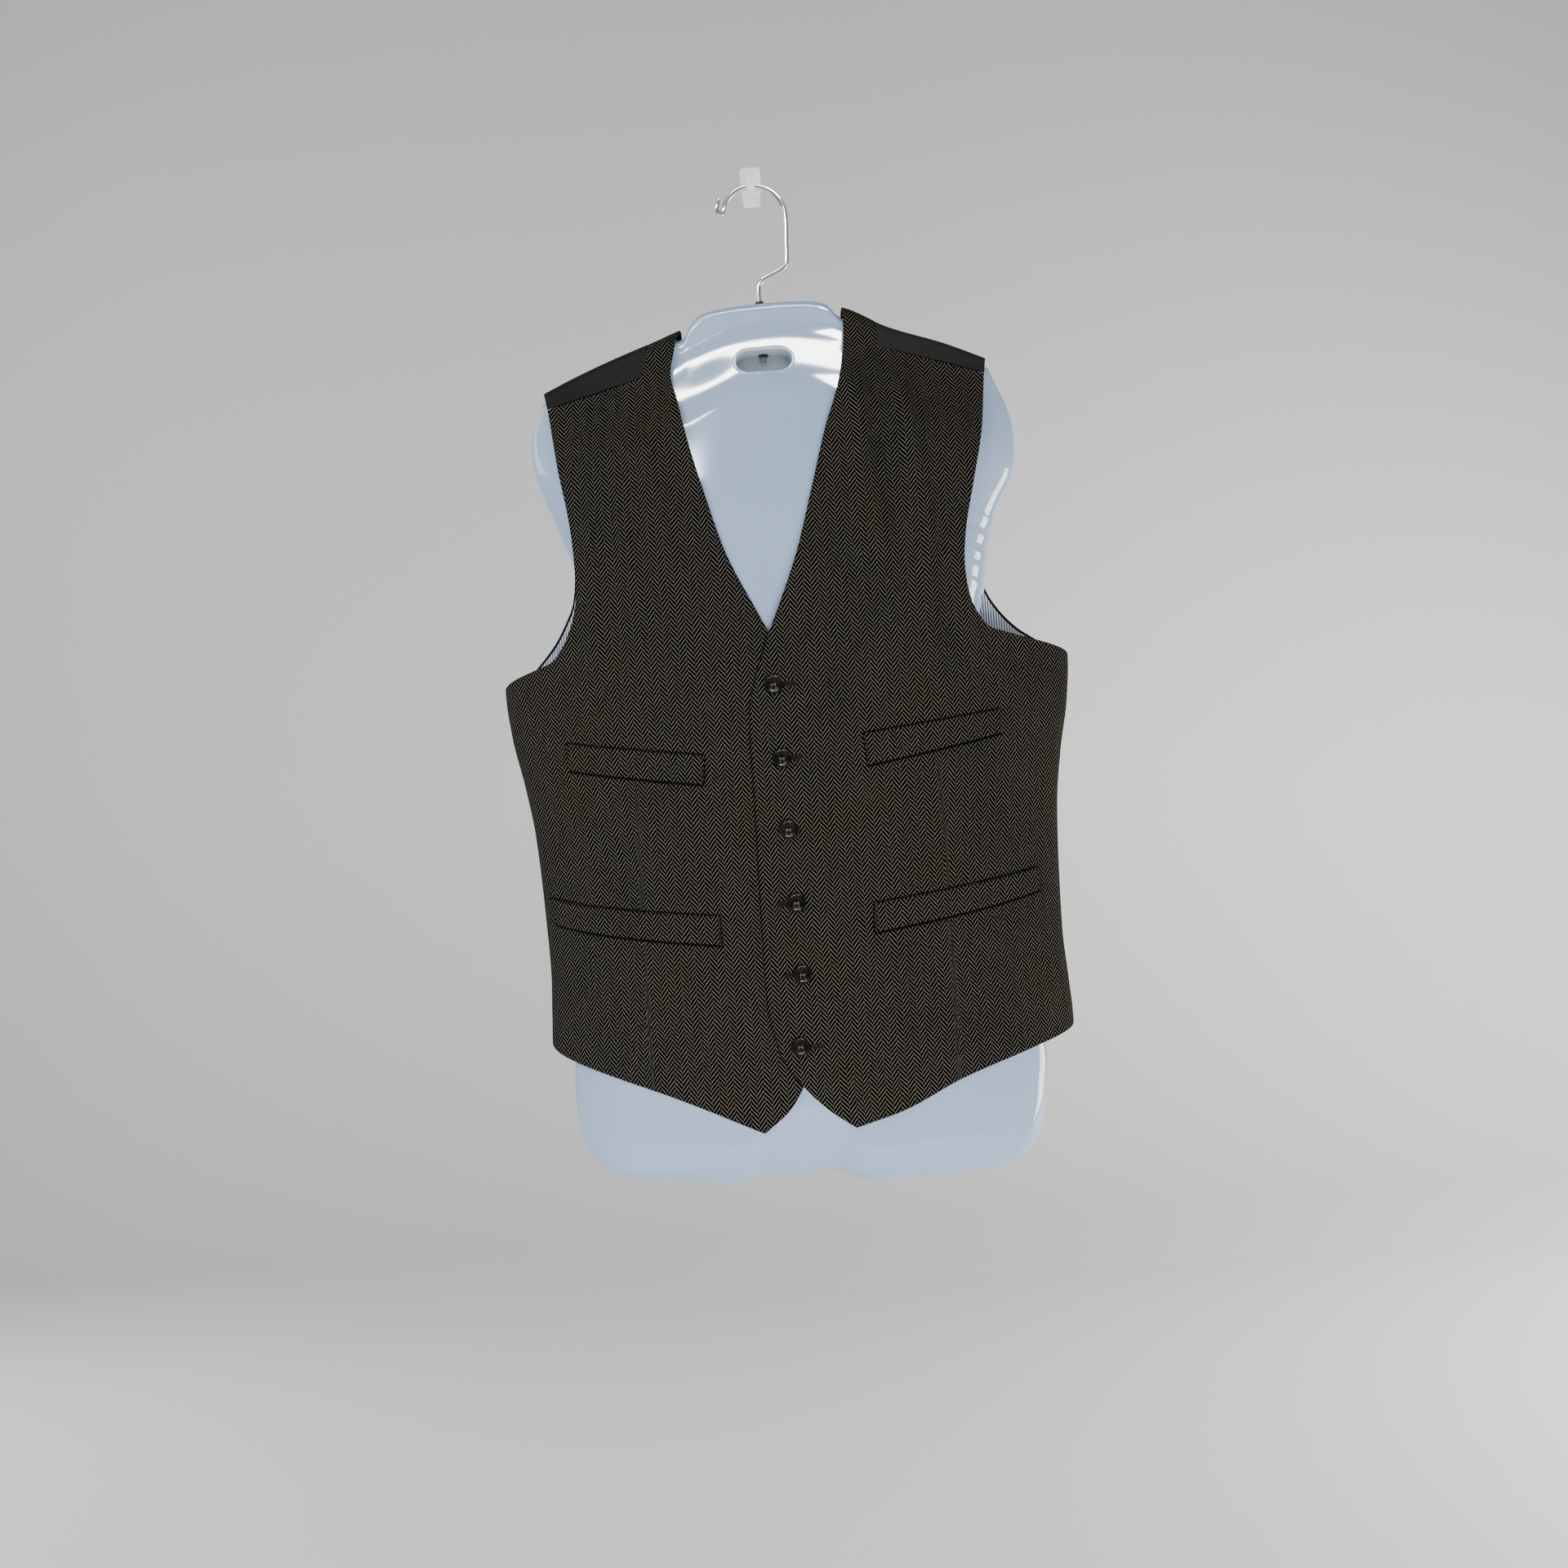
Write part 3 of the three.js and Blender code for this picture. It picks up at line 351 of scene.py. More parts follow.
right_front = {
    "hem": places((-44.4, -788.6), (-90.3, -767.3), (-124.6, -753.1), (-163.4, -739.4), (-199, -726.7))
    + [(-QUARTER, -714), (-SEAM_ANGLE, -713)],
    "inner": [
        (0.1, places((-44.4, -788.6), (-22.8, -771.1), (-9, -750), (2, -728))),
        (0.55, places((2, -728), (6, -666), (6, -601), (5, -535), (7, -470), (7, -440), (-9, -395.5))),
        (
            1,
            places((-9, -395.5), (-21.4, -368.9), (-41.1, -324.6), (-56.3, -270.1), (-66.2, -228.6))
            + places((-73, -192), (-77.8, -166), (-74, -146))
            + [at_ridge(-67.7, -NECK_END)],
        ),
    ],
    "outer": [
        (0.5, [(-SEAM_ANGLE, -713), (-SEAM_ANGLE, SIDE_SEAM_MIDDLE_Z), (-SEAM_ANGLE, -421)]),
        (
            0.82,
            [(-SEAM_ANGLE, -421), (-QUARTER, -417.5)]
            + places((-214.8, -412.6), (-184.5, -390.4), (-169, -360), (-165.9, -330), (-167.9, -285.8))
            + places((-175.5, -235), (-181.8, -187)),
        ),
        (0.93, places((-181.8, -187), (-141.5, -177.7), (-102, -167.6))),
        (1, places((-102, -167.6), (-98.5, -154)) + [at_ridge(-95, -NECK_END)]),
    ],
    "neck_top": [at_ridge(-67.7, -NECK_END), at_ridge(-95, -NECK_END)],
}


def front_domain(outline):
    return patch(
        stretch(outline["hem"]),
        stretch(outline["neck_top"]),
        edge(outline["inner"]),
        edge(outline["outer"]),
    )


# %% [markdown]
# ### The outlines behind
# The satin halves come forward over the shoulders, and the neck bands carry the fronts on to centre back.
# Their edges could be tables as well. They are taken from the fronts' own edges instead, moved clear by
# the width of a seam, so that the seams stay parallel.

# %% Back, neck band and lining outlines
CENTRE_X = GAP / 2
SEAM_CLEAR = 0.45
SIDE_SEAM_CLEAR = 1.2
NECK_SEAM_CLEAR = 0.5
SEAM_SAMPLES = 8
HEM_CENTRE_Z = -722
HEM_MIDDLE_X = 110
LINING_INSET = 2.6
LINING_INSET_ANGLE = LINING_INSET * 0.6 / DOMAIN_SCALE
LINING_HEM_RISE = 14
LINING_TOP_Z = -215
LINING_TOP_X = 176
LINING_SIDE_STEP = 0.05
NECK_FROM, NECK_TO = 0.68, 0.9
seam_lean = float(half_width(SIDE_SEAM_MIDDLE_Z)) * math.cos(SEAM_ANGLE)
BACK_SEAM_ANGLE = math.pi - SEAM_ANGLE + SIDE_SEAM_CLEAR / seam_lean

backs = {
    "left": {
        "side": 1,
        "hem": -727,
        "underarm": -416.5,
        "neck_x": 94.4,
        "band_x": 68.1,
        "neck_seam": [(0, -181), (40, -177), (70, -165), (87, -150)],
        "neck_top": [(0, -157), (25, -156), (48, -152), (64, -143)],
        "armhole": places((214, -405), (196.6, -392), (181.4, -374.4), (171.6, -354.7), (168.5, -325))
        + places((171, -280), (177, -230))
        + [at_ridge(185.5, 0)],
        "front": left_front,
    },
    "right": {
        "side": -1,
        "hem": -713,
        "underarm": -413.5,
        "neck_x": -95,
        "band_x": -67.7,
        "neck_seam": [(0, -181), (-40, -177.5), (-70, -168), (-88, -156)],
        "neck_top": [(0, -157), (-25, -156.5), (-48, -154), (-64.5, -148)],
        "armhole": places((-212, -400), (-193.6, -379.1), (-181.8, -359.2), (-175.9, -345.8))
        + places((-172, -315), (-173, -270), (-178, -225))
        + [at_ridge(-186, 0)],
        "front": right_front,
    },
}


def from_other_sheet(a, b):
    """The same place reached over the shoulder fold from the other sheet."""
    x = float(half_width(WIDTH_FIXED_Z)) * math.sin(a)
    return (a, 2 * (float(ridge(x)) - SHOULDER_RADIUS) + math.pi * SHOULDER_RADIUS - b)


def along_front(points, move_x, move_up):
    """Points along a stretch of the front, from its end back to its start, moved clear of it."""
    width = float(half_width(WIDTH_FIXED_Z))
    shares = 1 - np.linspace(0, 1, SEAM_SAMPLES + 1)
    return [from_other_sheet(a + move_x / width, b + move_up) for a, b in stretch(points)(shares)]


def neck_seam_points(back, clear):
    points = [on_sheet(x + back["side"] * CENTRE_X, z - clear) for x, z in back["neck_seam"]]
    return points + [at_ridge(back["neck_x"] + back["side"] * clear, 0)]


def back_domain(back):
    side, outer_front = back["side"], back["front"]["outer"]
    seam_a = side * BACK_SEAM_ANGLE
    centre = side * CENTRE_X
    shoulder = along_front(outer_front[2][1], 0, SEAM_CLEAR)
    extension = along_front(outer_front[3][1], side * SEAM_CLEAR, 0)
    inner_end = (extension[SEAM_SAMPLES][0], shoulder[0][1])
    extension[SEAM_SAMPLES] = inner_end
    shoulder[0] = inner_end
    neck_edge = neck_seam_points(back, NECK_SEAM_CLEAR)
    neck_edge[-1] = extension[0]
    hem_middle = on_sheet(side * HEM_MIDDLE_X, (HEM_CENTRE_Z + back["hem"]) / 2)
    bottom = stretch([on_sheet(centre, HEM_CENTRE_Z), hem_middle, (seam_a, back["hem"])])
    neck_corner = on_sheet(centre, back["neck_seam"][0][1] - NECK_SEAM_CLEAR)
    inner = edge(
        [
            (0.5, [on_sheet(centre, HEM_CENTRE_Z), on_sheet(centre, -420)]),
            (NECK_FROM, [on_sheet(centre, -420), neck_corner]),
            (NECK_TO, neck_edge),
            (1, extension),
        ]
    )
    under = (seam_a, back["underarm"])
    outer = edge(
        [
            (0.5, [(seam_a, back["hem"]), (seam_a, SIDE_SEAM_MIDDLE_Z), under]),
            (0.9, [under, *back["armhole"]]),
            (1, [back["armhole"][-1], shoulder[SEAM_SAMPLES]]),
        ]
    )
    return patch(bottom, stretch(shoulder), inner, outer)


def band_domain(back):
    centre = back["side"] * CENTRE_X
    outer = neck_seam_points(back, 0)
    outer[-1] = at_ridge(back["neck_x"], -NECK_END)
    inner = [on_sheet(x + centre, z) for x, z in back["neck_top"]]
    inner.append(at_ridge(back["band_x"], -NECK_END))
    ends = stretch([on_sheet(centre, back["neck_seam"][0][1]), on_sheet(centre, back["neck_top"][0][1])])
    return patch(stretch(outer), stretch(inner), ends, stretch([outer[-1], inner[-1]]))


def lining_domain(back):
    side = back["side"]
    seam_a = side * (BACK_SEAM_ANGLE - LINING_SIDE_STEP)
    centre = side * CENTRE_X
    hem = back["hem"] + LINING_HEM_RISE
    top_x = side * LINING_TOP_X
    under = (seam_a, back["underarm"] - LINING_INSET)
    armhole = [(a - side * LINING_INSET_ANGLE, b - LINING_INSET) for a, b in back["armhole"][:6]]
    return patch(
        stretch([on_sheet(centre, hem), (seam_a, hem)]),
        stretch([on_sheet(centre, LINING_TOP_Z), on_sheet(top_x, LINING_TOP_Z)]),
        edge(
            [
                (0.5, [on_sheet(centre, hem), on_sheet(centre, -425)]),
                (1, [on_sheet(centre, -425), on_sheet(centre, LINING_TOP_Z)]),
            ]
        ),
        edge([(0.5, [(seam_a, hem), under]), (1, [under, *armhole, on_sheet(top_x, LINING_TOP_Z)])]),
    )


# %% [markdown]
# ## Panels with turned edges
# A made-up panel is a wall of cloth with its edge turned in, so its rim is round. A plane with a Solidify
# modifier would give the wall with a sharp rim. Here rows of points close to the rim round it off, and a
# relief function presses in the darts and raises the folds.

# %% Panel builder
RIM_STEPS = (0.35, 0.9, 1.7, 3.0)
RIM_WIDTH = 2.0


def shares_with_rims(count, length):
    """Even shares with extra ones close to both ends, and each one's distance from the nearer end."""
    close = [step / length for step in RIM_STEPS]
    even = [t for t in np.linspace(0, 1, count + 1) if close[-1] < t < 1 - close[-1]]
    shares = np.array([0, *close, *even, *(1 - t for t in reversed(close)), 1])
    return shares, np.minimum(shares, 1 - shares) * length


def make_mesh(name, points, faces, materials, indices=None, uv=None):
    mesh = bpy.data.meshes.new(name)
    mesh.from_pydata((np.asarray(points) * MM).tolist(), [], [list(map(int, f)) for f in faces])
    for material in materials:
        mesh.materials.append(material)
    if indices is not None:
        mesh.polygons.foreach_set("material_index", indices)
    if uv is not None:
        layer = mesh.uv_layers.new(name="weave")
        loops = np.zeros(len(mesh.loops), int)
        mesh.loops.foreach_get("vertex_index", loops)
        layer.data.foreach_set("uv", np.asarray(uv, float)[loops].ravel())
    mesh.polygons.foreach_set("use_smooth", [True] * len(mesh.polygons))
    mesh.update()
    piece = bpy.data.objects.new(name, mesh)
    bpy.context.scene.collection.objects.link(piece)
    return piece


def grid_faces(rows, columns, start, flip):
    j, i = np.meshgrid(np.arange(rows - 1), np.arange(columns - 1), indexing="ij")
    p = (start + j * columns + i).ravel()
    quads = np.stack([p, p + 1, p + columns + 1, p + columns], -1)
    return quads[:, ::-1] if flip else quads


def rim_faces(rows, columns, flip):
    bottom = np.arange(columns)
    right = np.arange(1, rows) * columns + columns - 1
    top = (rows - 1) * columns + np.arange(columns - 2, -1, -1)
    left = np.arange(rows - 2, -1, -1) * columns
    loop = np.concatenate([bottom, right, top, left])
    p, q = loop[:-1], loop[1:]
    inner = rows * columns
    quads = np.stack([p, inner + p, inner + q, q], -1)
    return quads[:, ::-1] if flip else quads


def cloth_panel(name, face, domain, size, counts, wall, lift, materials, relief=None, take=None, roll=0.42):
    """A wall of cloth whose outer face lies lift outside the worn surface."""
    across, from_side = shares_with_rims(counts[0], size[0])
    up, from_end = shares_with_rims(counts[1], size[1])
    grid = domain(across, up)
    a, b = grid[..., 0], grid[..., 1]
    points = sheet_points(face, a, b)
    normals = sheet_normals(face, a, b)
    from_rim = np.minimum(from_side[None, :], from_end[:, None])
    near = np.clip(1 - from_rim / RIM_WIDTH, 0, 1)
    dip = wall * roll * (1 - np.sqrt(1 - near**2))
    along, height = cloth_lengths(face, a, b)
    raised = lift(points[..., 0]) if callable(lift) else np.full(a.shape, lift)
    pressed = relief(points, along, height) if relief else 0
    outer = points + normals * (raised - dip + pressed)[..., None]
    inner = points + normals * (raised - wall + dip + pressed)[..., None]
    rows, columns = a.shape
    flip = bool(grid[0, -1, 0] < grid[0, 0, 0]) != (face < 0)
    outside = grid_faces(rows, columns, 0, flip)
    inside = grid_faces(rows, columns, rows * columns, not flip)
    rim = rim_faces(rows, columns, flip)
    faces = np.concatenate([outside, inside, rim])
    indices = [0] * len(outside) + [len(materials) - 1] * len(inside) + [0] * len(rim)
    if take is not None:
        along = along + take(points[..., 0], points[..., 2])
    uv = np.stack([along, height], -1).reshape(-1, 2)
    points = np.concatenate([outer.reshape(-1, 3), inner.reshape(-1, 3)])
    piece = make_mesh(name, points, faces, materials, indices, np.concatenate([uv, uv]))
    piece["flat_area"] = float(wall_area(outer))
    return piece


def wall_area(grid):
    first = np.cross(grid[:-1, 1:] - grid[:-1, :-1], grid[1:, 1:] - grid[:-1, :-1])
    second = np.cross(grid[1:, 1:] - grid[:-1, :-1], grid[1:, :-1] - grid[:-1, :-1])
    return (np.linalg.norm(first, axis=-1) + np.linalg.norm(second, axis=-1)).sum() / 2 * MM * MM


# %% [markdown]
# ## Shader arithmetic
# A weave is a formula of lengths, and wiring it node by node is hard to read. This small class wraps a
# node socket, so that sockets can be added and multiplied as numbers. Each sum then adds its Math node.

# %% Values in a material
class Value:
    """A number in a surface's node tree."""

    def __init__(self, surface, socket):
        self.surface = surface
        self.socket = socket

    def maths(self, operation, *others):
        inputs = dict(enumerate((self, *others)))
        node = self.surface.node("ShaderNodeMath", {"operation": operation}, inputs)
        return Value(self.surface, node.outputs[0])

    def __add__(self, other):
        return self.maths("ADD", other)

    def __sub__(self, other):
        return self.maths("SUBTRACT", other)

    def __mul__(self, other):
        return self.maths("MULTIPLY", other)

    def __truediv__(self, other):
        return self.maths("DIVIDE", other)

    def __rsub__(self, other):
        return (self * -1.0) + other

    __radd__ = __add__
    __rmul__ = __mul__

    def ramp(self, low, high, to_low=0.0, to_high=1.0):
        limits = {"Value": self, "From Min": low, "From Max": high, "To Min": to_low, "To Max": to_high}
        node = self.surface.node("ShaderNodeMapRange", {"interpolation_type": "SMOOTHSTEP"}, limits)
        return Value(self.surface, node.outputs["Result"])


class Surface:
    """A material with one principled shader and the inputs that its patterns read."""

    def __init__(self, name, **settings):
        self.material = bpy.data.materials.new(name)
        self.material.use_nodes = True
        self.tree = self.material.node_tree
        self.tree.nodes.clear()
        inputs = {key.replace("_", " "): value for key, value in settings.items()}
        self.shader = self.node("ShaderNodeBsdfPrincipled", inputs=inputs)
        self.node("ShaderNodeOutputMaterial", inputs={"Surface": self.shader.outputs[0]})

    def node(self, kind, settings=None, inputs=None):
        node = self.tree.nodes.new(kind)
        for key, value in (settings or {}).items():
            setattr(node, key, value)
        for key, value in (inputs or {}).items():
            self.feed(node.inputs[key], value)
        return node

    def feed(self, slot, value):
        source = value.socket if isinstance(value, Value) else value
        if isinstance(source, bpy.types.NodeSocket):
            self.tree.links.new(source, slot)
        else:
            slot.default_value = source

    def weave_lengths(self):
        lengths = self.node("ShaderNodeUVMap", {"uv_map": "weave"})
        parts = self.node("ShaderNodeSeparateXYZ", inputs={0: lengths.outputs[0]})
        return Value(self, parts.outputs[0]), Value(self, parts.outputs[1])

    def object_place(self):
        return self.node("ShaderNodeTexCoord").outputs["Object"]

    def joined(self, *values):
        return self.node("ShaderNodeCombineXYZ", inputs=dict(enumerate(values))).outputs[0]

    def noise(self, place, scale, detail=2.0, roughness=0.5):
        inputs = {"Vector": place, "Scale": scale, "Detail": detail, "Roughness": roughness}
        return Value(self, self.node("ShaderNodeTexNoise", inputs=inputs).outputs["Fac"])

    def chance(self, place):
        node = self.node("ShaderNodeTexWhiteNoise", {"noise_dimensions": "2D"}, {"Vector": place})
        return Value(self, node.outputs["Value"])

    def mix(self, share, first, second):
        colours = [(*c, 1) if isinstance(c, tuple) else c for c in (first, second)]
        node = self.node("ShaderNodeMix", {"data_type": "RGBA"}, {0: share, 6: colours[0], 7: colours[1]})
        return node.outputs[2]

    def colour(self, socket):
        self.feed(self.shader.inputs["Base Color"], socket)

    def rough(self, value):
        self.feed(self.shader.inputs["Roughness"], value)

    def bump(self, height, distance, strength=1.0):
        inputs = {"Strength": strength, "Distance": distance, "Height": height}
        self.feed(self.shader.inputs["Normal"], self.node("ShaderNodeBump", inputs=inputs).outputs[0])


# %% [markdown]
# ## Cloths
# The tweed is a broken herringbone: legs 6 mm wide climb up and down in turn, and each yarn steps up a
# little beside the last one. Light and dark yarns alternate, with brown and olive flecks. A tiled picture
# would repeat itself, while a formula in the cloth's own lengths runs unbroken over the whole panel.

# %% Herringbone tweed
LEG = 6.05
STRIPE_PITCH = 3.85
STRIPE_SLOPE = 1.24
YARN = 0.76
LEG_SHIFT = 0.5
WHOLE_TURN = 2 * math.pi
PALE_YARN = (0.122, 0.116, 0.102)
BROWN_YARN = (0.122, 0.1044, 0.0775)
MOSS_YARN = (0.1074, 0.1009, 0.0714)


def crease_shade(cloth, place, creases):
    """Painted shade along lines in the plan: start, end, half width, and how dark the middle is."""
    parts = cloth.node("ShaderNodeSeparateXYZ", inputs={0: place})
    x, z = (Value(cloth, parts.outputs[k]) / MM for k in (0, 2))
    seam_shade_and_dip = None
    for (x0, z0), (x1, z1), half, depth in creases:
        length = math.hypot(x1 - x0, z1 - z0)
        ux, uz = (x1 - x0) / length, (z1 - z0) / length
        run = (x - x0) * ux + (z - z0) * uz
        away = ((x - x0) * uz - (z - z0) * ux).maths("ABSOLUTE")
        starts = run.ramp(-1.5, 0.5)
        stops = run.ramp(length + 1.5, length - 0.5)
        line = away.ramp(half, half * 0.2) * starts * stops * depth
        seam_shade_and_dip = line if seam_shade_and_dip is None else seam_shade_and_dip.maths("MAXIMUM", line)
    return seam_shade_and_dip


def tweed_cloth(name, creases=()):
    cloth = Surface(name, Roughness=1.0, Specular_IOR_Level=0.0)
    u, v = cloth.weave_lengths()
    place = cloth.object_place()
    across = u + (cloth.noise(place, 28.0, 1.0) - 0.5) * 2.4
    climb_from = v + (cloth.noise(place, 45.0, 1.0) - 0.5) * 2.4
    zig = across.maths("PINGPONG", LEG)
    falling = (across / LEG).maths("FLOOR").maths("FLOORED_MODULO", 2.0)
    yarn = (across / YARN).maths("FLOOR")
    stepped = (zig / YARN).maths("FLOOR") * YARN
    climb = (stepped * 0.5 + zig * 0.5) * STRIPE_SLOPE
    phase = (climb_from - climb) / STRIPE_PITCH + falling * LEG_SHIFT
    wave = (phase * WHOLE_TURN).maths("SINE")
    fuzz = cloth.noise(cloth.joined(u, v, 0.0), 1.9, 2.0, 0.6) - 0.5
    along_yarn = cloth.noise(cloth.joined(yarn * 7.3, v * 0.35, 0.0), 1.0, 1.0) - 0.5
    stripe = (wave + fuzz * 0.8).ramp(0.42, 0.95)
    patches = cloth.noise(place, 16.0, 3.0, 0.55)
    fleck = cloth.noise(cloth.joined(u * 0.28, v * 0.09, 0.0), 1.0, 3.0)
    warm = cloth.mix(patches.ramp(0.45, 0.75), PALE_YARN, BROWN_YARN)
    tinted = cloth.mix(fleck.ramp(0.55, 0.72), warm, MOSS_YARN)
    yarn_tone = cloth.chance(cloth.joined(yarn, (v / 9.0).maths("FLOOR"), 0.0)) * 0.22
    level = stripe * (0.85 + along_yarn * 0.55 + yarn_tone + (patches - 0.5) * 0.45)
    hair = cloth.noise(place, 1400.0, 2.0, 0.7)
    height = wave * 0.5 + fuzz * 0.5 + hair * 0.4
    if creases:
        # Painted shade: the tweed darkens along the seams, pocket mouths and lap edge, and its bump dips
        # there.
        seam_shade_and_dip = crease_shade(cloth, place, creases)
        level = level * (1 - seam_shade_and_dip * 0.9)
        height = height - seam_shade_and_dip * 3.0
    cloth.colour(cloth.mix(level, (0.0, 0.0, 0.0), tinted))
    cloth.bump(height, 0.00022, 0.75)
    return cloth.material


# %% [markdown]
# ### Satin, striped lining and sewing thread
# The back is a charcoal satin with a fine twill, the lining has blue and white stripes, and the threads
# are matt. Each pattern reads the lengths that the panels carry as a UV map, so the grain follows every
# piece as it was cut.

# %% Satin, lining and thread
def satin_cloth():
    cloth = Surface("back_satin", Roughness=0.6, Specular_IOR_Level=0.05)
    u, v = cloth.weave_lengths()
    twill = ((u + v * 1.7) * WHOLE_TURN / 0.7).maths("SINE")
    slow = cloth.noise(cloth.object_place(), 14.0, 2.0)
    tone = (slow * 0.6 + twill * 0.08 + 0.2).ramp(0.1, 0.9)
    cloth.colour(cloth.mix(tone, (0.0028, 0.0026, 0.0027), (0.0055, 0.0052, 0.0054)))
    puckers = cloth.noise(cloth.joined(u * 0.05, v * 0.05, 0.0), 1.0, 2.0)
    cloth.bump(puckers + twill * 0.02, 0.0016, 0.5)
    return cloth.material


def striped_cloth():
    cloth = Surface("striped_lining", Roughness=0.5, Sheen_Weight=0.15, Sheen_Roughness=0.4)
    u, v = cloth.weave_lengths()
    wave = (u * WHOLE_TURN / 2.1).maths("SINE")
    slim = (u * WHOLE_TURN / 1.05).maths("SINE")
    share = (wave * 0.8 + slim * 0.25).ramp(-0.45, 0.1)
    cloth.colour(cloth.mix(share, (0.02, 0.035, 0.11), (0.62, 0.68, 0.8)))
    fine = (v * WHOLE_TURN / 0.4).maths("SINE")
    cloth.bump(fine * 0.3 + wave * 0.3, 0.00008, 0.6)
    return cloth.material


def thread(name, colour, roughness=0.75):
    strand = Surface(name, Roughness=roughness, Specular_IOR_Level=0.05)
    shade = strand.noise(strand.object_place(), 900.0, 1.0)
    strand.colour(strand.mix(shade, tuple(k * 0.6 for k in colour), colour))
    return strand.material


# %% [markdown]
# ### Shade in the pressed seams
# Seams, pocket mouths and the edge of the lap show as dark lines of shade, where light doesn't reach in.
# Real gaps as narrow as these would need a much finer mesh, so the shade is painted: the tweed's own
# material is darker along the edges of the welts, the darts and the lap, and its bump is lower there.

# %% Lines of the seams
MOUTH_HALF, MOUTH_DEPTH, MOUTH_ABOVE = 0.9, 0.85, 0.9
SEAM_HALF, SEAM_DEPTH, SEAM_BELOW = 1.9, 0.95, 1.2
END_HALF, END_DEPTH = 1.2, 0.8
DART_SHADE = 0.4
WELT_STEPS = 3
LAP_HALF, LAP_SHADE = 1.0, 0.6
lap_edge = [(-15.6, -396), (-31.6, -443.5), (-33.4, -480), (-33.8, -535.5), (-35.1, -601), (-34.8, -690)]
lap_edge += [(-27.3, -728.5), (-11.8, -752.8), (8.5, -774)]
welts = {
    "welt_upper_right": ((-71.1, -482.7), (-183.7, -464.5), (-72.9, -505.5), (-183.5, -486)),
    "welt_lower_right": ((-67.7, -612.3), (-208.8, -591.1), (-68, -635.3), (-205.9, -612.3)),
    "welt_upper_left": ((57.2, -474.5), (170.7, -462), (59.4, -499.5), (170.9, -480.7)),
    "welt_lower_left": ((55.9, -610.8), (195, -593.6), (54.9, -633.7), (196.5, -612.1)),
}
darts = {
    "left": {"side": 1, "line": [(-737, 115.5), (-640, 117.5), (-560, 118), (-506, 116)], "top": -497},
    "right": {"side": -1, "line": [(-733, -132), (-640, -131.5), (-560, -130), (-501, -128.5)], "top": -492},
}


def welt_line(start, end, shift):
    """Places along a welt's long edge, which bows a little in the plan, moved up by shift."""
    (a0, z0), (a1, z1) = on_sheet(*start), on_sheet(*end)
    spots = []
    for t in np.linspace(0, 1, WELT_STEPS + 1):
        a, z = a0 + (a1 - a0) * t, z0 + (z1 - z0) * t
        spots.append((float(half_width(z)) * math.sin(a), float(z) + shift))
    return spots


def creases_of(which):
    """Lines of painted shade: pocket mouths, seams under the welts and at their ends, the dart, and on the
    right front the lap's edge.
    """
    lines = []
    for name, (top_in, top_out, low_in, low_out) in welts.items():
        if name.endswith(which):
            above = welt_line(top_in, top_out, MOUTH_ABOVE)
            below = welt_line(low_in, low_out, -SEAM_BELOW)
            lines += [(*ends, MOUTH_HALF, MOUTH_DEPTH) for ends in zip(above, above[1:])]
            lines += [(*ends, SEAM_HALF, SEAM_DEPTH) for ends in zip(below, below[1:])]
            lines.append((top_in, low_in, END_HALF, END_DEPTH))
            lines.append((top_out, low_out, END_HALF, END_DEPTH))
    spots = [(x, z) for z, x in darts[which]["line"]]
    for start, end in zip(spots, spots[1:]):
        lines.append((start, end, MOUTH_HALF, DART_SHADE))
    if which == "right":
        for start, end in zip(lap_edge, lap_edge[1:]):
            lines.append((start, end, LAP_HALF, LAP_SHADE))
    return lines


# %% Finishes of the cloths and threads
tweed = tweed_cloth("tweed")
tweeds = {which: tweed_cloth(f"tweed_{which}", creases_of(which)) for which in ("left", "right")}
satin = satin_cloth()
striped = striped_cloth()
hole_thread = thread("hole_thread", (0.02, 0.0155, 0.009))
button_thread = thread("button_thread", (0.12, 0.105, 0.075))
tack_thread = thread("tack_thread", (0.03, 0.026, 0.018))
print("creases on the fronts:", len(creases_of("left")), "and", len(creases_of("right")))


# %% [markdown]
# ## Plastic and metal
# The buttons look like horn, the form is a glossy pale plastic, and the hook is polished wire. Slow noise
# in the colour and the right roughness are enough for these, because they show little but reflections.
# Inside the slot the colour is painted lighter and greyer, as painted light for the light that reaches in
# there.

# %% Hard materials
SLOT_WIDTH, SLOT_HEIGHT, SLOT_Z, SLOT_FLOOR_Y = 48, 23, -162, -8.5


def horn_plastic():
    horn = Surface("horn_button", Specular_IOR_Level=0.2)
    cloud = horn.noise(horn.object_place(), 160.0, 3.0, 0.6)
    horn.colour(horn.mix(cloud.ramp(0.35, 0.7), (0.0015, 0.0012, 0.001), (0.008, 0.006, 0.004)))
    horn.rough(cloud.ramp(0.3, 0.7, 0.22, 0.36))
    return horn.material


def form_plastic():
    shell = Surface("form_plastic", Roughness=0.07, Specular_IOR_Level=0.55)
    slow = shell.noise(shell.object_place(), 3.5, 1.0)
    skin = shell.mix(slow.ramp(0.3, 0.7), (0.305, 0.415, 0.6), (0.335, 0.445, 0.63))
    parts = shell.node("ShaderNodeSeparateXYZ", inputs={0: shell.object_place()})
    x, y, z = (Value(shell, parts.outputs[k]) / MM for k in range(3))
    # Painted light: inside the slot the shell's colour turns a lighter, greyer blue.
    beside = x.maths("ABSOLUTE").ramp(SLOT_WIDTH / 2 + 2, SLOT_WIDTH / 2 + 1)
    within = (z - SLOT_Z).maths("ABSOLUTE").ramp(SLOT_HEIGHT / 2 + 2, SLOT_HEIGHT / 2 + 1)
    deep = y.ramp(-39, -33) * y.ramp(-5, -7)
    shell.colour(shell.mix(beside * within * deep, skin, (0.58, 0.64, 0.7)))
    shell.bump(shell.noise(shell.object_place(), 20.0, 1.0), 0.0004, 0.4)
    return shell.material


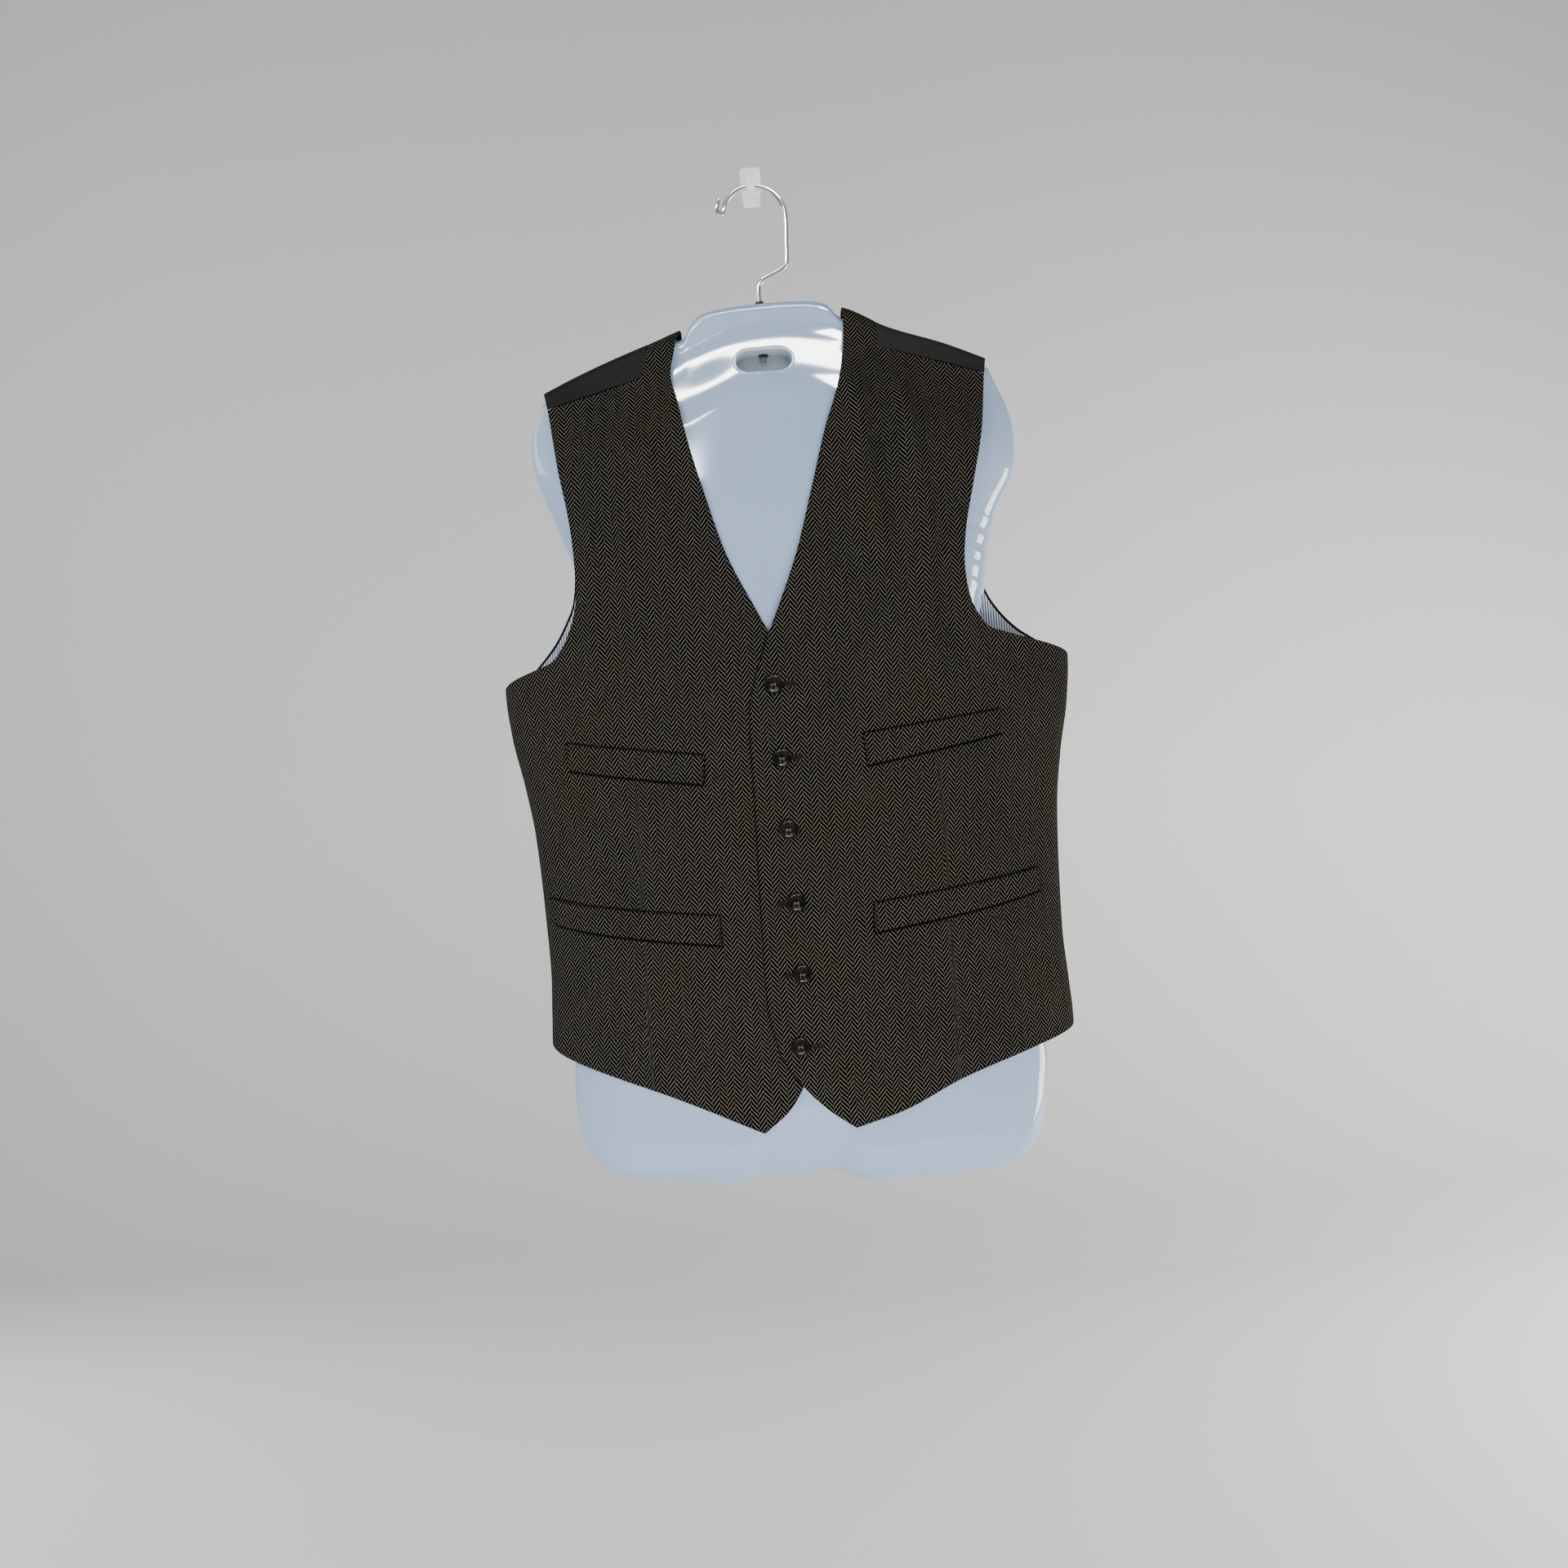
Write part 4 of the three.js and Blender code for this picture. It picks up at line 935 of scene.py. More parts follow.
horn = horn_plastic()
# Painted highlight: the sloping faces of the buttons' rims get this lighter horn, for the ring of light they
# catch.
horn_rim_highlight = Surface("horn_rim_highlight", Base_Color=(0.035, 0.031, 0.025, 1), Roughness=0.3).material
shell = form_plastic()
chrome = Surface("chrome_wire", Base_Color=(0.74, 0.74, 0.76, 1), Metallic=1.0, Roughness=0.14).material
steel_look = {"Base_Color": (0.035, 0.034, 0.036, 1), "Metallic": 0.6, "Roughness": 0.38}
dark_steel = Surface("dark_steel", **steel_look).material
white = Surface("white_plastic", Base_Color=(0.82, 0.82, 0.84, 1), Roughness=0.32).material
print("materials so far:", len(bpy.data.materials))


# %% [markdown]
# ## The two fronts
# The left front laps over the right one. A dart runs from each upper welt nearly to the hem. Its seam
# dips, and the cloth that it takes up turns the weave beside it. Both could be modelled by hand. As
# formulas they stay in step with the outlines, and the lap keeps its distance from the front below.

# %% Darts and lap
LAP_LIFT = TWEED_WALL + GAP + 0.15
LAP_FULL_X, LAP_END_X = 14, 52
DART_DEPTH = 0.85
DART_HALF = 1.5
DART_PUFF_HALF = 9
DART_TAKE = 9.0
SOFT_RISE = 0.35
SIDE_Y = -20


def lap_lift(x):
    return LAP_LIFT * (1 - smooth_step(LAP_FULL_X, LAP_END_X, x))


def dart_x(dart, z):
    heights, places_x = zip(*dart["line"])
    return np.interp(z, heights, places_x)


def dart_reach(dart, z):
    low = dart["line"][0][0]
    return smooth_step(low - 14, low + 6, z) * smooth_step(dart["top"], dart["top"] - 22, z)


# %% [markdown]
# ### Folds
# Hung cloth falls in soft ridges from the shoulders, and more of them point at the armholes. Each one here
# is a bell across a line, faded out at both its ends, so that it can be moved by its few places.

# %% Folds in the fronts
def fold(x, z, line, width, rise):
    """A soft ridge that stands out by rise along a line given from its foot to its head."""
    heights, places_x = zip(*line)
    middle_x = np.interp(z, heights, places_x)
    foot = smooth_step(heights[0] - 30, heights[0] + 30, z)
    head = smooth_step(heights[-1] + 25, heights[-1] - 25, z)
    return rise * bell(x - middle_x, width) * foot * head


# line of height and x from foot to head, half width, rise
folds = {
    "left": [
        ([(-330, 84), (-289, 79), (-234, 74), (-185, 72)], 9, 4.2),
        ([(-330, 121), (-289, 119), (-234, 116), (-185, 108)], 9, 4.2),
        ([(-415, 117), (-360, 118), (-310, 122)], 7.5, 3.2),
        ([(-420, 150), (-370, 146), (-330, 147)], 7.5, 2.4),
        ([(-725, 72), (-680, 74), (-650, 78)], 11, 1.6),
        ([(-570, 78), (-545, 80), (-520, 84)], 11, 1.2),
    ],
    "right": [
        ([(-400, -118), (-330, -120), (-270, -122)], 8, 3.6),
        ([(-400, -152), (-340, -153), (-290, -150)], 7.5, 3.0),
        ([(-330, -88), (-270, -96), (-215, -104)], 9, 3.2),
        ([(-720, -84), (-680, -84), (-650, -86)], 11, 1.6),
        ([(-575, -92), (-545, -94), (-520, -96)], 11, 1.2),
    ],
}


def front_relief(which):
    dart = darts[which]

    def relief(points, along, height):
        x, z = points[..., 0], points[..., 2]
        in_front = points[..., 1] < SIDE_Y
        away = np.where(in_front, x - dart_x(dart, z), 99)
        reach = dart_reach(dart, z)
        seam = -DART_DEPTH * bell(away, DART_HALF) * reach
        puff = SOFT_RISE * bell(away, DART_PUFF_HALF) * reach
        ease = SOFT_RISE * np.sin(along / 37 + 1.3 * dart["side"]) * np.sin(height / 61)
        drape = sum(fold(x, z, line, width, rise) for line, width, rise in folds[which])
        return seam + puff + ease + np.where(in_front, drape, 0)

    return relief


def dart_take(dart):
    def take(x, z):
        beyond = smooth_step(-0.8, 0.8, (x - dart_x(dart, z)) * dart["side"])
        width = DART_TAKE * smooth_step(-470, -610, z) * (1 - 0.45 * smooth_step(-640, -760, z))
        return dart["side"] * beyond * width

    return take


# %% [markdown]
# ### Building a front
# The grid follows the patch, the wall gives it thickness and the relief bends it. Both fronts come out of
# one loop, since they differ only in outline, lift and material.

# %% Build the fronts
FRONT_SIZE = (235, 640)
FRONT_COUNTS = (128, 250)
pieces = {}
for which, outline, lift in (("right", right_front, 0.0), ("left", left_front, lap_lift)):
    dart = darts[which]
    name = f"front_{which}"
    piece = cloth_panel(
        f"cloth_{name}",
        1,
        front_domain(outline),
        FRONT_SIZE,
        FRONT_COUNTS,
        TWEED_WALL,
        lift,
        [tweeds[which], satin],
        front_relief(which),
        dart_take(dart),
    )
    pieces[name] = piece
    print(name, "area", round(piece["flat_area"], 4), "m2")

# %% [markdown]
# ## Back, neck bands and lining
# Two satin halves meet at centre back, a tweed band stands behind the neck, and a striped lining shows at
# the lower armholes. They have no reliefs, so one loop builds all six with the same builder.

# %% Build the back
rear_panels = {
    "back": (back_domain, (225, 560), (80, 190), BACK_WALL, 0.0, [satin, satin]),
    "neck_band": (band_domain, (105, 26), (60, 14), TWEED_WALL, 0.0, [tweed, satin]),
    "back_lining": (
        lining_domain,
        (200, 500),
        (40, 100),
        LINING_WALL,
        -BACK_WALL - LINING_LIFT,
        [striped, striped],
    ),
}
for which, back in backs.items():
    for kind, (domain_of, size, counts, wall, lift, materials) in rear_panels.items():
        name = f"{kind}_{which}"
        piece = cloth_panel(f"cloth_{name}", -1, domain_of(back), size, counts, wall, lift, materials)
        pieces[name] = piece
        print(name, "area", round(piece["flat_area"], 4), "m2")

# %% [markdown]
# ## Welts
# A welt is a folded strip that stands over the mouth of a pocket. Four of them are cut with the grain
# upright, so that their weave nearly runs on from the front. Each is a panel of its own, raised a little.

# %% Build the welts
def welt_domain(corners):
    top_in, top_out, bottom_in, bottom_out = (on_sheet(*corner) for corner in corners)
    return patch(
        stretch([bottom_in, bottom_out]),
        stretch([top_in, top_out]),
        stretch([bottom_in, top_in]),
        stretch([bottom_out, top_out]),
    )


for name, corners in welts.items():
    length = abs(corners[1][0] - corners[0][0]) * 1.15
    pieces[name] = cloth_panel(
        f"cloth_{name}",
        1,
        welt_domain(corners),
        (length, 23),
        (70, 16),
        WELT_WALL,
        WELT_LIFT + WELT_WALL,
        [tweed, tweed],
        take=lambda x, z: 2.0 + 0 * x,
    )
print("welts:", len(welts))

# %% [markdown]
# ## Buttons
# A turned button has a dished middle, a raised rim and four holes. A cylinder with bevels would come near
# it, but a lathe turns the dish and the rim from one profile, as a maker would. The holes are drilled with
# a Boolean modifier.

# %% Turn one button
BUTTON_RADIUS = 7.5
BUTTON_RIM = 3.2
BUTTON_DISH = 2.0
BUTTON_HOLE_RADIUS = 0.85
BUTTON_HOLE_OFFSET = 1.5
BUTTON_LIFT = 0.45
BUTTON_FLAT_RADIUS, BUTTON_EDGE_TILT = 3.2, 0.9
button_places = [(-11.5, -430.6), (-9, -489.6), (-8, -547), (-5.8, -605.8), (-5.1, -663.1), (-10.9, -720.2)]


def lathe(profile, sides):
    """Points and faces of a profile of radius and height turned about the third axis."""
    angles = np.arange(sides) * WHOLE_TURN / sides
    points = [(0, 0, profile[0][1])]
    for r, h in profile[1:-1]:
        points += [(r * math.cos(t), r * math.sin(t), h) for t in angles]
    points.append((0, 0, profile[-1][1]))
    faces = []
    for i in range(sides):
        j = (i + 1) % sides
        faces.append((0, 1 + j, 1 + i))
        for k in range(len(profile) - 3):
            low, high = 1 + k * sides, 1 + (k + 1) * sides
            faces.append((low + i, low + j, high + j, high + i))
        last = 1 + (len(profile) - 3) * sides
        faces.append((last + i, last + j, len(points) - 1))
    return points, faces


def rounded_profile(points, radius, steps=4):
    """A profile with its inner corners rounded off."""
    points = [np.array(p, float) for p in points]
    result = [points[0]]
    for before, corner, after in zip(points, points[1:], points[2:]):
        into = before - corner
        out = after - corner
        reach = min(radius, np.linalg.norm(into) * 0.45, np.linalg.norm(out) * 0.45)
        start = corner + into / np.linalg.norm(into) * reach
        end = corner + out / np.linalg.norm(out) * reach
        for t in np.linspace(0, 1, steps + 1):
            result.append((1 - t) ** 2 * start + 2 * t * (1 - t) * corner + t**2 * end)
    result.append(points[-1])
    return [tuple(p) for p in result]


button_profile = rounded_profile(
    [
        (0, 0),
        (BUTTON_RADIUS - 1.2, 0),
        (BUTTON_RADIUS, 1.2),
        (BUTTON_RADIUS, 2.3),
        (BUTTON_RADIUS - 0.9, BUTTON_RIM),
        (BUTTON_RADIUS - 2.1, BUTTON_RIM - 0.15),
        (BUTTON_RADIUS - 3.1, BUTTON_DISH),
        (0, BUTTON_DISH - 0.15),
    ],
    0.7,
)


def make_button():
    points, faces = lathe(button_profile, 56)
    button = make_mesh("button_blank", points, faces, [horn, horn_rim_highlight])
    drill_points, drill_faces = [], []
    for i, j in ((-1, -1), (1, -1), (1, 1), (-1, 1)):
        shaft, sides = lathe([(0, -1), (BUTTON_HOLE_RADIUS, -1), (BUTTON_HOLE_RADIUS, 5), (0, 5)], 16)
        offset = len(drill_points)
        drill_points += [(x + i * BUTTON_HOLE_OFFSET, y + j * BUTTON_HOLE_OFFSET, z) for x, y, z in shaft]
        drill_faces += [tuple(k + offset for k in face) for face in sides]
    drill = make_mesh("button_drill", drill_points, drill_faces, [horn])
    cut = button.modifiers.new("holes", "BOOLEAN")
    cut.object = drill
    cut.solver = "EXACT"
    mesh = bpy.data.meshes.new_from_object(button.evaluated_get(bpy.context.evaluated_depsgraph_get()))
    # The rim's sloping faces take the lighter second material, a painted highlight round the ring.
    for face in mesh.polygons:
        on_rim = math.hypot(*face.center[:2]) > BUTTON_FLAT_RADIUS
        face.material_index = int(on_rim and abs(face.normal.z) < BUTTON_EDGE_TILT)
    for spare in (button, drill):
        bpy.data.objects.remove(spare)
    return mesh


button_mesh = make_button()
print("button faces:", len(button_mesh.polygons))


# %% [markdown]
# ### Threads and wire
# A sewn thread and a bent wire are both round tubes along a path. A curve object with a bevel gives the
# same tube, but it may twist at a sharp bend. This one turns its ring as little as it can at each step.

# %% Tubes for threads and wire
def tube(path, radius, sides=8):
    """Points and faces of a round tube along a path, closed at its ends."""
    path = np.asarray(path, float)
    tangents = np.gradient(path, axis=0)
    tangents /= np.linalg.norm(tangents, axis=1)[:, None]
    side = np.cross(tangents[0], (0.3, 0.9, 0.2))
    side /= np.linalg.norm(side)
    points, faces = [], []
    for at, tangent in zip(path, tangents):
        side = side - tangent * side.dot(tangent)
        side /= np.linalg.norm(side)
        other = np.cross(tangent, side)
        for k in range(sides):
            turn = WHOLE_TURN * k / sides
            points.append(at + radius * (math.cos(turn) * side + math.sin(turn) * other))
    for j in range(len(path) - 1):
        for k in range(sides):
            p, q = j * sides + k, j * sides + (k + 1) % sides
            faces.append((p, q, q + sides, p + sides))
    faces.append(tuple(range(sides))[::-1])
    last = (len(path) - 1) * sides
    faces.append(tuple(range(last, last + sides)))
    return points, faces


def add_up(parts):
    """Several sets of points and faces as one."""
    points, faces = [], []
    for some_points, some_faces in parts:
        offset = len(points)
        points += [tuple(p) for p in some_points]
        faces += [tuple(k + offset for k in face) for face in some_faces]
    return points, faces


def strand(start, end, bow, radius, count=7):
    """A thread between two places, bowed outward in the middle."""
    t = np.linspace(0, 1, count)[:, None]
    path = (1 - t) * np.array(start, float) + t * np.array(end, float)
    path[:, 2] += bow * np.sin(math.pi * t[:, 0])
    return tube(path, radius, 6)


def button_thread_parts():
    parts = []
    off, floor = BUTTON_HOLE_OFFSET, BUTTON_DISH - 0.7
    for i in (-1, 1):
        for shift in (-0.32, 0.0, 0.32):
            x = i * off + shift
            parts.append(strand((x, -off, floor), (x, off, floor), 1.3, 0.24))
    for shift in (-0.3, 0.0, 0.3):
        parts.append(strand((-off, shift, floor), (off, shift, floor), 1.55, 0.24))
    return parts


# %% [markdown]
# ### Sewing the buttons on
# A tailor sews a button on a short shank of thread, so that the lap fits under it. Each button is turned
# to the cloth's normal and stands off by that shank, and an H of thread lies in its dish.

# %% Place the buttons
def button_matrix(x, z):
    a, b = (np.array(k) for k in on_sheet(x, z))
    normal = Vector(sheet_normals(1, a, b))
    at = Vector(sheet_points(1, a, b)) + normal * (LAP_LIFT + BUTTON_LIFT)
    return Matrix.Translation(at * MM) @ normal.to_track_quat("Z", "Y").to_matrix().to_4x4()


thread_points, thread_faces = add_up(button_thread_parts())
for index, (x, z) in enumerate(button_places):
    name = f"button_{index + 1}"
    place = button_matrix(x, z)
    mesh = button_mesh.copy()
    mesh.transform(place)
    button = bpy.data.objects.new(f"turned_{name}", mesh)
    bpy.context.scene.collection.objects.link(button)
    sewn = make_mesh(f"thread_{name}", thread_points, thread_faces, [button_thread])
    sewn.data.transform(place)
    pieces[name] = button
    pieces[f"thread_{name}"] = sewn
print("buttons:", len(button_places))

# %% [markdown]
# ## The torso form
# The form is a blow-moulded shell, fuller in front, with a rolled lower edge and a slot near its neck for
# the hook's nut. Its outline is drawn as the panels' outlines are, with four edges and a patch.

# %% Sizes of the form
FORM_REAR_Y = -4.5
FORM_EDGE_HALF = 10
FORM_INSET = TWEED_WALL + 1.1
FORM_SLOPE_INSET = 2.6
FORM_SIDE_ROUND = 24
FORM_TOP_ROUND = 10
FORM_BOTTOM_ROUND = 16
FORM_FACE_ROUND = 44
FORM_COUNTS = (130, 190)
FORM_CROWDS = (0.72, 0.7)
form_outline = {
    "bottom": [(-186, -817), (-160, -829), (-110, -834), (-76, -838.5), (-57, -836.5), (-43, -832)]
    + [(-16, -836), (11, -834), (26, -841), (44, -845), (110, -843.5), (155, -840.5), (181, -824)],
    "top": [(-187, -178.5), (-155, -161.5), (-125, -150), (-92, -138.5), (-74, -134), (-65, -132.5)]
    + [(-58, -120), (-48, -113), (-3, -108), (46, -109.5), (56, -113), (63, -121.5), (72, -128)]
    + [(84, -132), (105, -139.5), (151, -156.5), (187, -175.5)],
    "left": [(-186, -817), (-197, -794), (-201.5, -765), (-200, -730), (-185, -680), (-165, -600)]
    + [(-155, -520), (-156, -440), (-160, -380), (-166, -335), (-173, -312), (-184, -280), (-197, -240)]
    + [(-198, -210), (-187, -178.5)],
    "right": [(181, -824), (188, -806), (193, -775), (194, -741), (180, -680), (163, -600), (155, -520)]
    + [(156, -450), (160, -400), (169.5, -362), (178, -318), (186, -294), (201, -263), (203.5, -224)]
    + [(187, -175.5)],
}
SCALLOP, SCALLOP_PITCH = 1.7, 13.5


def scallop_reach(z):
    """The pressed scallops under the arm, on the wearer's left."""
    return smooth_step(-384, -376, z) * smooth_step(-298, -306, z)


def plan_edge(points):
    dense, share = catmull(points)
    return lambda t: np.stack([np.interp(t, share, dense[:, k]) for k in (0, 1)], -1)


def quarter_round(distance, radius):
    t = 1 - np.clip(distance / radius, 0, 1)
    return np.sqrt(np.maximum(1 - t * t, 0))


def crowded_shares(count, crowd):
    """Shares that crowd towards both ends, where the form rounds off."""
    t = np.linspace(0, 1, count + 1)
    return t - crowd * np.sin(WHOLE_TURN * t) / WHOLE_TURN


# %% [markdown]
# ### Moulding the shell
# The shell's face lies a few millimetres inside the cloth and rounds off towards its edges. Metaballs or
# sculpting could swell it, but the formula keeps it clear of the cloth everywhere. The slot is cut with a
# Boolean modifier, and a thin tube round it gives the rounded lip that moulding leaves.

# %% Shape the form
def form_grids():
    across, up = (crowded_shares(n, crowd) for n, crowd in zip(FORM_COUNTS, FORM_CROWDS))
    edges = {name: plan_edge(points) for name, points in form_outline.items()}
    plan = patch(edges["bottom"], edges["top"], edges["left"], edges["right"])(across, up)
    x, z = plan[..., 0], plan[..., 1]
    near_side = bell(x - x[:, -1:], 7)
    scallops = np.maximum(np.cos((z + 300) * WHOLE_TURN / SCALLOP_PITCH), -0.2)
    x = x - SCALLOP * near_side * scallops * scallop_reach(z)
    from_side = np.minimum(x - x[:, :1], x[:, -1:] - x)
    from_top = np.maximum(z[-1:, :] - z, 0)
    from_bottom = np.maximum(z - z[:1, :], 0)
    side = quarter_round(from_side, FORM_SIDE_ROUND)
    ends = quarter_round(from_top, FORM_TOP_ROUND) * quarter_round(from_bottom, FORM_BOTTOM_ROUND)
    edge_half = FORM_EDGE_HALF * side * ends
    middle = FORM_REAR_Y - FORM_EDGE_HALF
    slope = FORM_SLOPE_INSET * (1 - smooth_step(CROWN_REACH, 2 * CROWN_REACH, ridge(x) - z))
    wanted = middle - FORM_EDGE_HALF - cloth_y(x, z, np.ones_like(x), 1) - FORM_INSET - slope
    rounding = quarter_round(from_side, FORM_FACE_ROUND) * quarter_round(from_bottom, FORM_FACE_ROUND)
    face = np.maximum(wanted, 0) * rounding * quarter_round(from_top, FORM_FACE_ROUND)
    crotch = bell(x + 8, 34) * smooth_step(-765, -828, z)
    off_middle = np.abs(x + 7)
    groin = 5.5 * smooth_step(20, 44, off_middle) * bell(off_middle - 44, 26) * smooth_step(-760, -815, z)
    sternum = 2.6 * bell(x + 4, 13) * smooth_step(-270, -350, z) * smooth_step(-470, -400, z)
    wobble = 0.35 * np.sin(x / 17 + z / 31) * np.sin(z / 23 - x / 41) * smooth_step(0, 30, from_side)
    face = face * (1 - 0.30 * crotch) + (groin - sternum + wobble) * rounding
    front = np.stack([x, middle - edge_half - np.maximum(face, 0), z], -1)
    rear = np.stack([x, middle + edge_half, z], -1)
    return front, rear


STEM_Y = -14.5
WIRE_RADIUS = 2.0
LIP_RADIUS = 1.6
LIP_GROW = 0.2
STEM_BORE_RADIUS = 2.3


def slot_ring(grow=0.0):
    """The slot's outline in the plan, counter-clockwise from in front."""
    radius = SLOT_HEIGHT / 2
    reach = SLOT_WIDTH / 2 - radius
    ring = []
    for centre, start in ((reach, -QUARTER), (-reach, QUARTER)):
        for t in np.linspace(0, math.pi, 21):
            turn = start + t
            ring.append((centre + (radius + grow) * math.cos(turn), (radius + grow) * math.sin(turn)))
    return ring


def slot_cutter():
    ring = slot_ring()
    count = len(ring)
    points = [(x, y, SLOT_Z + z) for y in (SLOT_FLOOR_Y, -90) for x, z in ring]
    faces = [tuple(range(count - 1, -1, -1)), tuple(range(count, 2 * count))]
    faces += [(k, (k + 1) % count, (k + 1) % count + count, k + count) for k in range(count)]
    return points, faces


def close_up(mesh):
    """Merge the points that meet at the rim, so that the shell is closed."""
    work = bmesh.new()
    work.from_mesh(mesh)
    bmesh.ops.remove_doubles(work, verts=work.verts, dist=0.00002)
    bmesh.ops.dissolve_degenerate(work, edges=work.edges, dist=0.00001)
    work.to_mesh(mesh)
    work.free()


def make_lip(form):
    """A thin tube round the slot, sunk a little into the shell's face."""
    face = BVHTree.FromObject(form, bpy.context.evaluated_depsgraph_get())
    ring = slot_ring(LIP_GROW)
    path = []
    for x, z in ring + ring[:2]:
        hit = face.ray_cast(Vector((x * MM, -0.2, (z + SLOT_Z) * MM)), Vector((0, 1, 0)))[0]
        path.append((x, hit.y / MM + LIP_RADIUS * 0.45, z + SLOT_Z))
    return make_mesh("slot_lip", *tube(path, LIP_RADIUS, 12), [shell])


def make_form():
    front, rear = form_grids()
    rows, columns = front.shape[:2]
    faces = np.concatenate(
        [
            grid_faces(rows, columns, 0, False),
            grid_faces(rows, columns, rows * columns, True),
            rim_faces(rows, columns, False),
        ]
    )
    points = np.concatenate([front.reshape(-1, 3), rear.reshape(-1, 3)])
    form = make_mesh("moulded_form", points, faces, [shell])
    close_up(form.data)
    cutter = make_mesh("slot_cutter", *slot_cutter(), [shell])
    bore_path = [(0, STEM_Y, SLOT_Z + k) for k in (0, 30, 60)]
    stem_bore = make_mesh("stem_bore", *tube(bore_path, STEM_BORE_RADIUS, 24), [shell])
    lip = make_lip(form)
    for tool in (cutter, stem_bore):
        cut = form.modifiers.new("cut", "BOOLEAN")
        cut.object = tool
        cut.solver = "EXACT"
    mesh = bpy.data.meshes.new_from_object(form.evaluated_get(bpy.context.evaluated_depsgraph_get()))
    mesh.polygons.foreach_set("use_smooth", [True] * len(mesh.polygons))
    mesh.set_sharp_from_angle(angle=math.radians(50))
    form.modifiers.clear()
    form.data = mesh
    for tool in (cutter, stem_bore):
        bpy.data.objects.remove(tool)
    return form, lip


pieces["torso_form"], pieces["slot_lip"] = make_form()
print("form faces:", len(pieces["torso_form"].data.polygons))

# %% [markdown]
# ## The hook
# The hook is polished wire: a threaded stem, a step to the side, a straight arm and an arc with a curled
# end. Its bends are a list of places, given one by one, because a bender makes them one after another.

# %% Bend the wire
HOOK_TOP_Z, HOOK_TOP_Y = -7.5, -9.8
STEM_TOP_Z, STEM_BOTTOM_Z = -112, -158.5
WIRE_STEPS = 260
wire_plan = [
    (0, STEM_BOTTOM_Z, 0),
    (0, -140, 0),
    (0, STEM_TOP_Z, 0),
    (0, -97, 0),
    (0.8, -92, 0),
    (4, -87.5, 0),
    (13, -83.2, 0),
    (20, -80, 0),
    (24.6, -75.5, 0),
    (25.8, -68, 0),
    (26.4, -54, 0),
    (27.2, -36, 0),
    (25.6, -25, 0),
    (20.5, -16.5, 0),
    (12.5, -10, 0),
    (0, HOOK_TOP_Z, 0),
    (-9, -8.6, 0),
    (-16.5, -12.8, 0),
    (-22, -19.5, 0.4),
    (-24.8, -27.5, 2),
    (-27.2, -30.8, 4.2),
    (-29.6, -27, 5.6),
    (-28, -18.5, 5.2),
]
lean = (HOOK_TOP_Y - STEM_Y) / (HOOK_TOP_Z - STEM_TOP_Z)
wire_path = [(x, STEM_Y + lean * max(z - STEM_TOP_Z, 0) - forward, z) for x, z, forward in wire_plan]
dense, share = catmull(wire_path)
even = np.linspace(0, 1, WIRE_STEPS)
dense = np.stack([np.interp(even, share, dense[:, k]) for k in range(3)], -1)
pieces["hook_wire"] = make_mesh("bent_wire", *tube(dense, WIRE_RADIUS, 20), [chrome])
print("wire length:", round(float(np.linalg.norm(np.diff(dense, axis=0), axis=1).sum())), "mm")

# %% [markdown]
# ### The cut thread
# The stem is threaded for its nut. Cutting a real thread takes thousands of faces. A thin helix sunk into
# the stem looks the same from outside.

# %% Thread on the stem
CUT_PITCH, CUT_RUN, CUT_RADIUS = 0.8, 6.5, 0.26
CUT_FROM_AXIS = 1.86
STEM_END = 0.6
run = np.linspace(0, CUT_RUN, 400)
angle = WHOLE_TURN * run / CUT_PITCH
cut_x, cut_y = CUT_FROM_AXIS * np.cos(angle), STEM_Y + CUT_FROM_AXIS * np.sin(angle)
helix = np.stack([cut_x, cut_y, STEM_BOTTOM_Z + STEM_END + run], -1)
pieces["stem_thread"] = make_mesh("stem_thread", *tube(helix, CUT_RADIUS, 5), [dark_steel])
print("turns of thread:", round(CUT_RUN / CUT_PITCH, 1))

# %% [markdown]
# ## What stays of the CAD
# The nut, the collar and the wall hook already have their true shape. They keep it and get a finish.

# %% Finish the CAD nodes that stay
kept_finishes = {"hook_nut": dark_steel, "hook_collar": dark_steel, "wall_hook": white}
for name, material in kept_finishes.items():
    node = frame["nodes"][name]
    node.data.materials.clear()
    node.data.materials.append(material)
print("kept from the CAD:", ", ".join(kept_finishes))


# %% [markdown]
# ## Sewing
# Buttonhole stitches lie close together along both sides of a slit and fan out at its end. One node tree
# lays them: a short stitch stands at every point, turned as the point says, at the size that is given.
# Copies made by hand would look the same, but in a tree the stitch is changed in one place.

# %% A node tree that lays stitches
def stitch_mesh(length, radius, name, material):
    path = [(-length / 2, 0, 0), (-length * 0.3, 0, radius), (length * 0.3, 0, radius), (length / 2, 0, 0)]
    piece = make_mesh(name, *tube(path, radius, 5), [material])
    piece.hide_render = True
    return piece


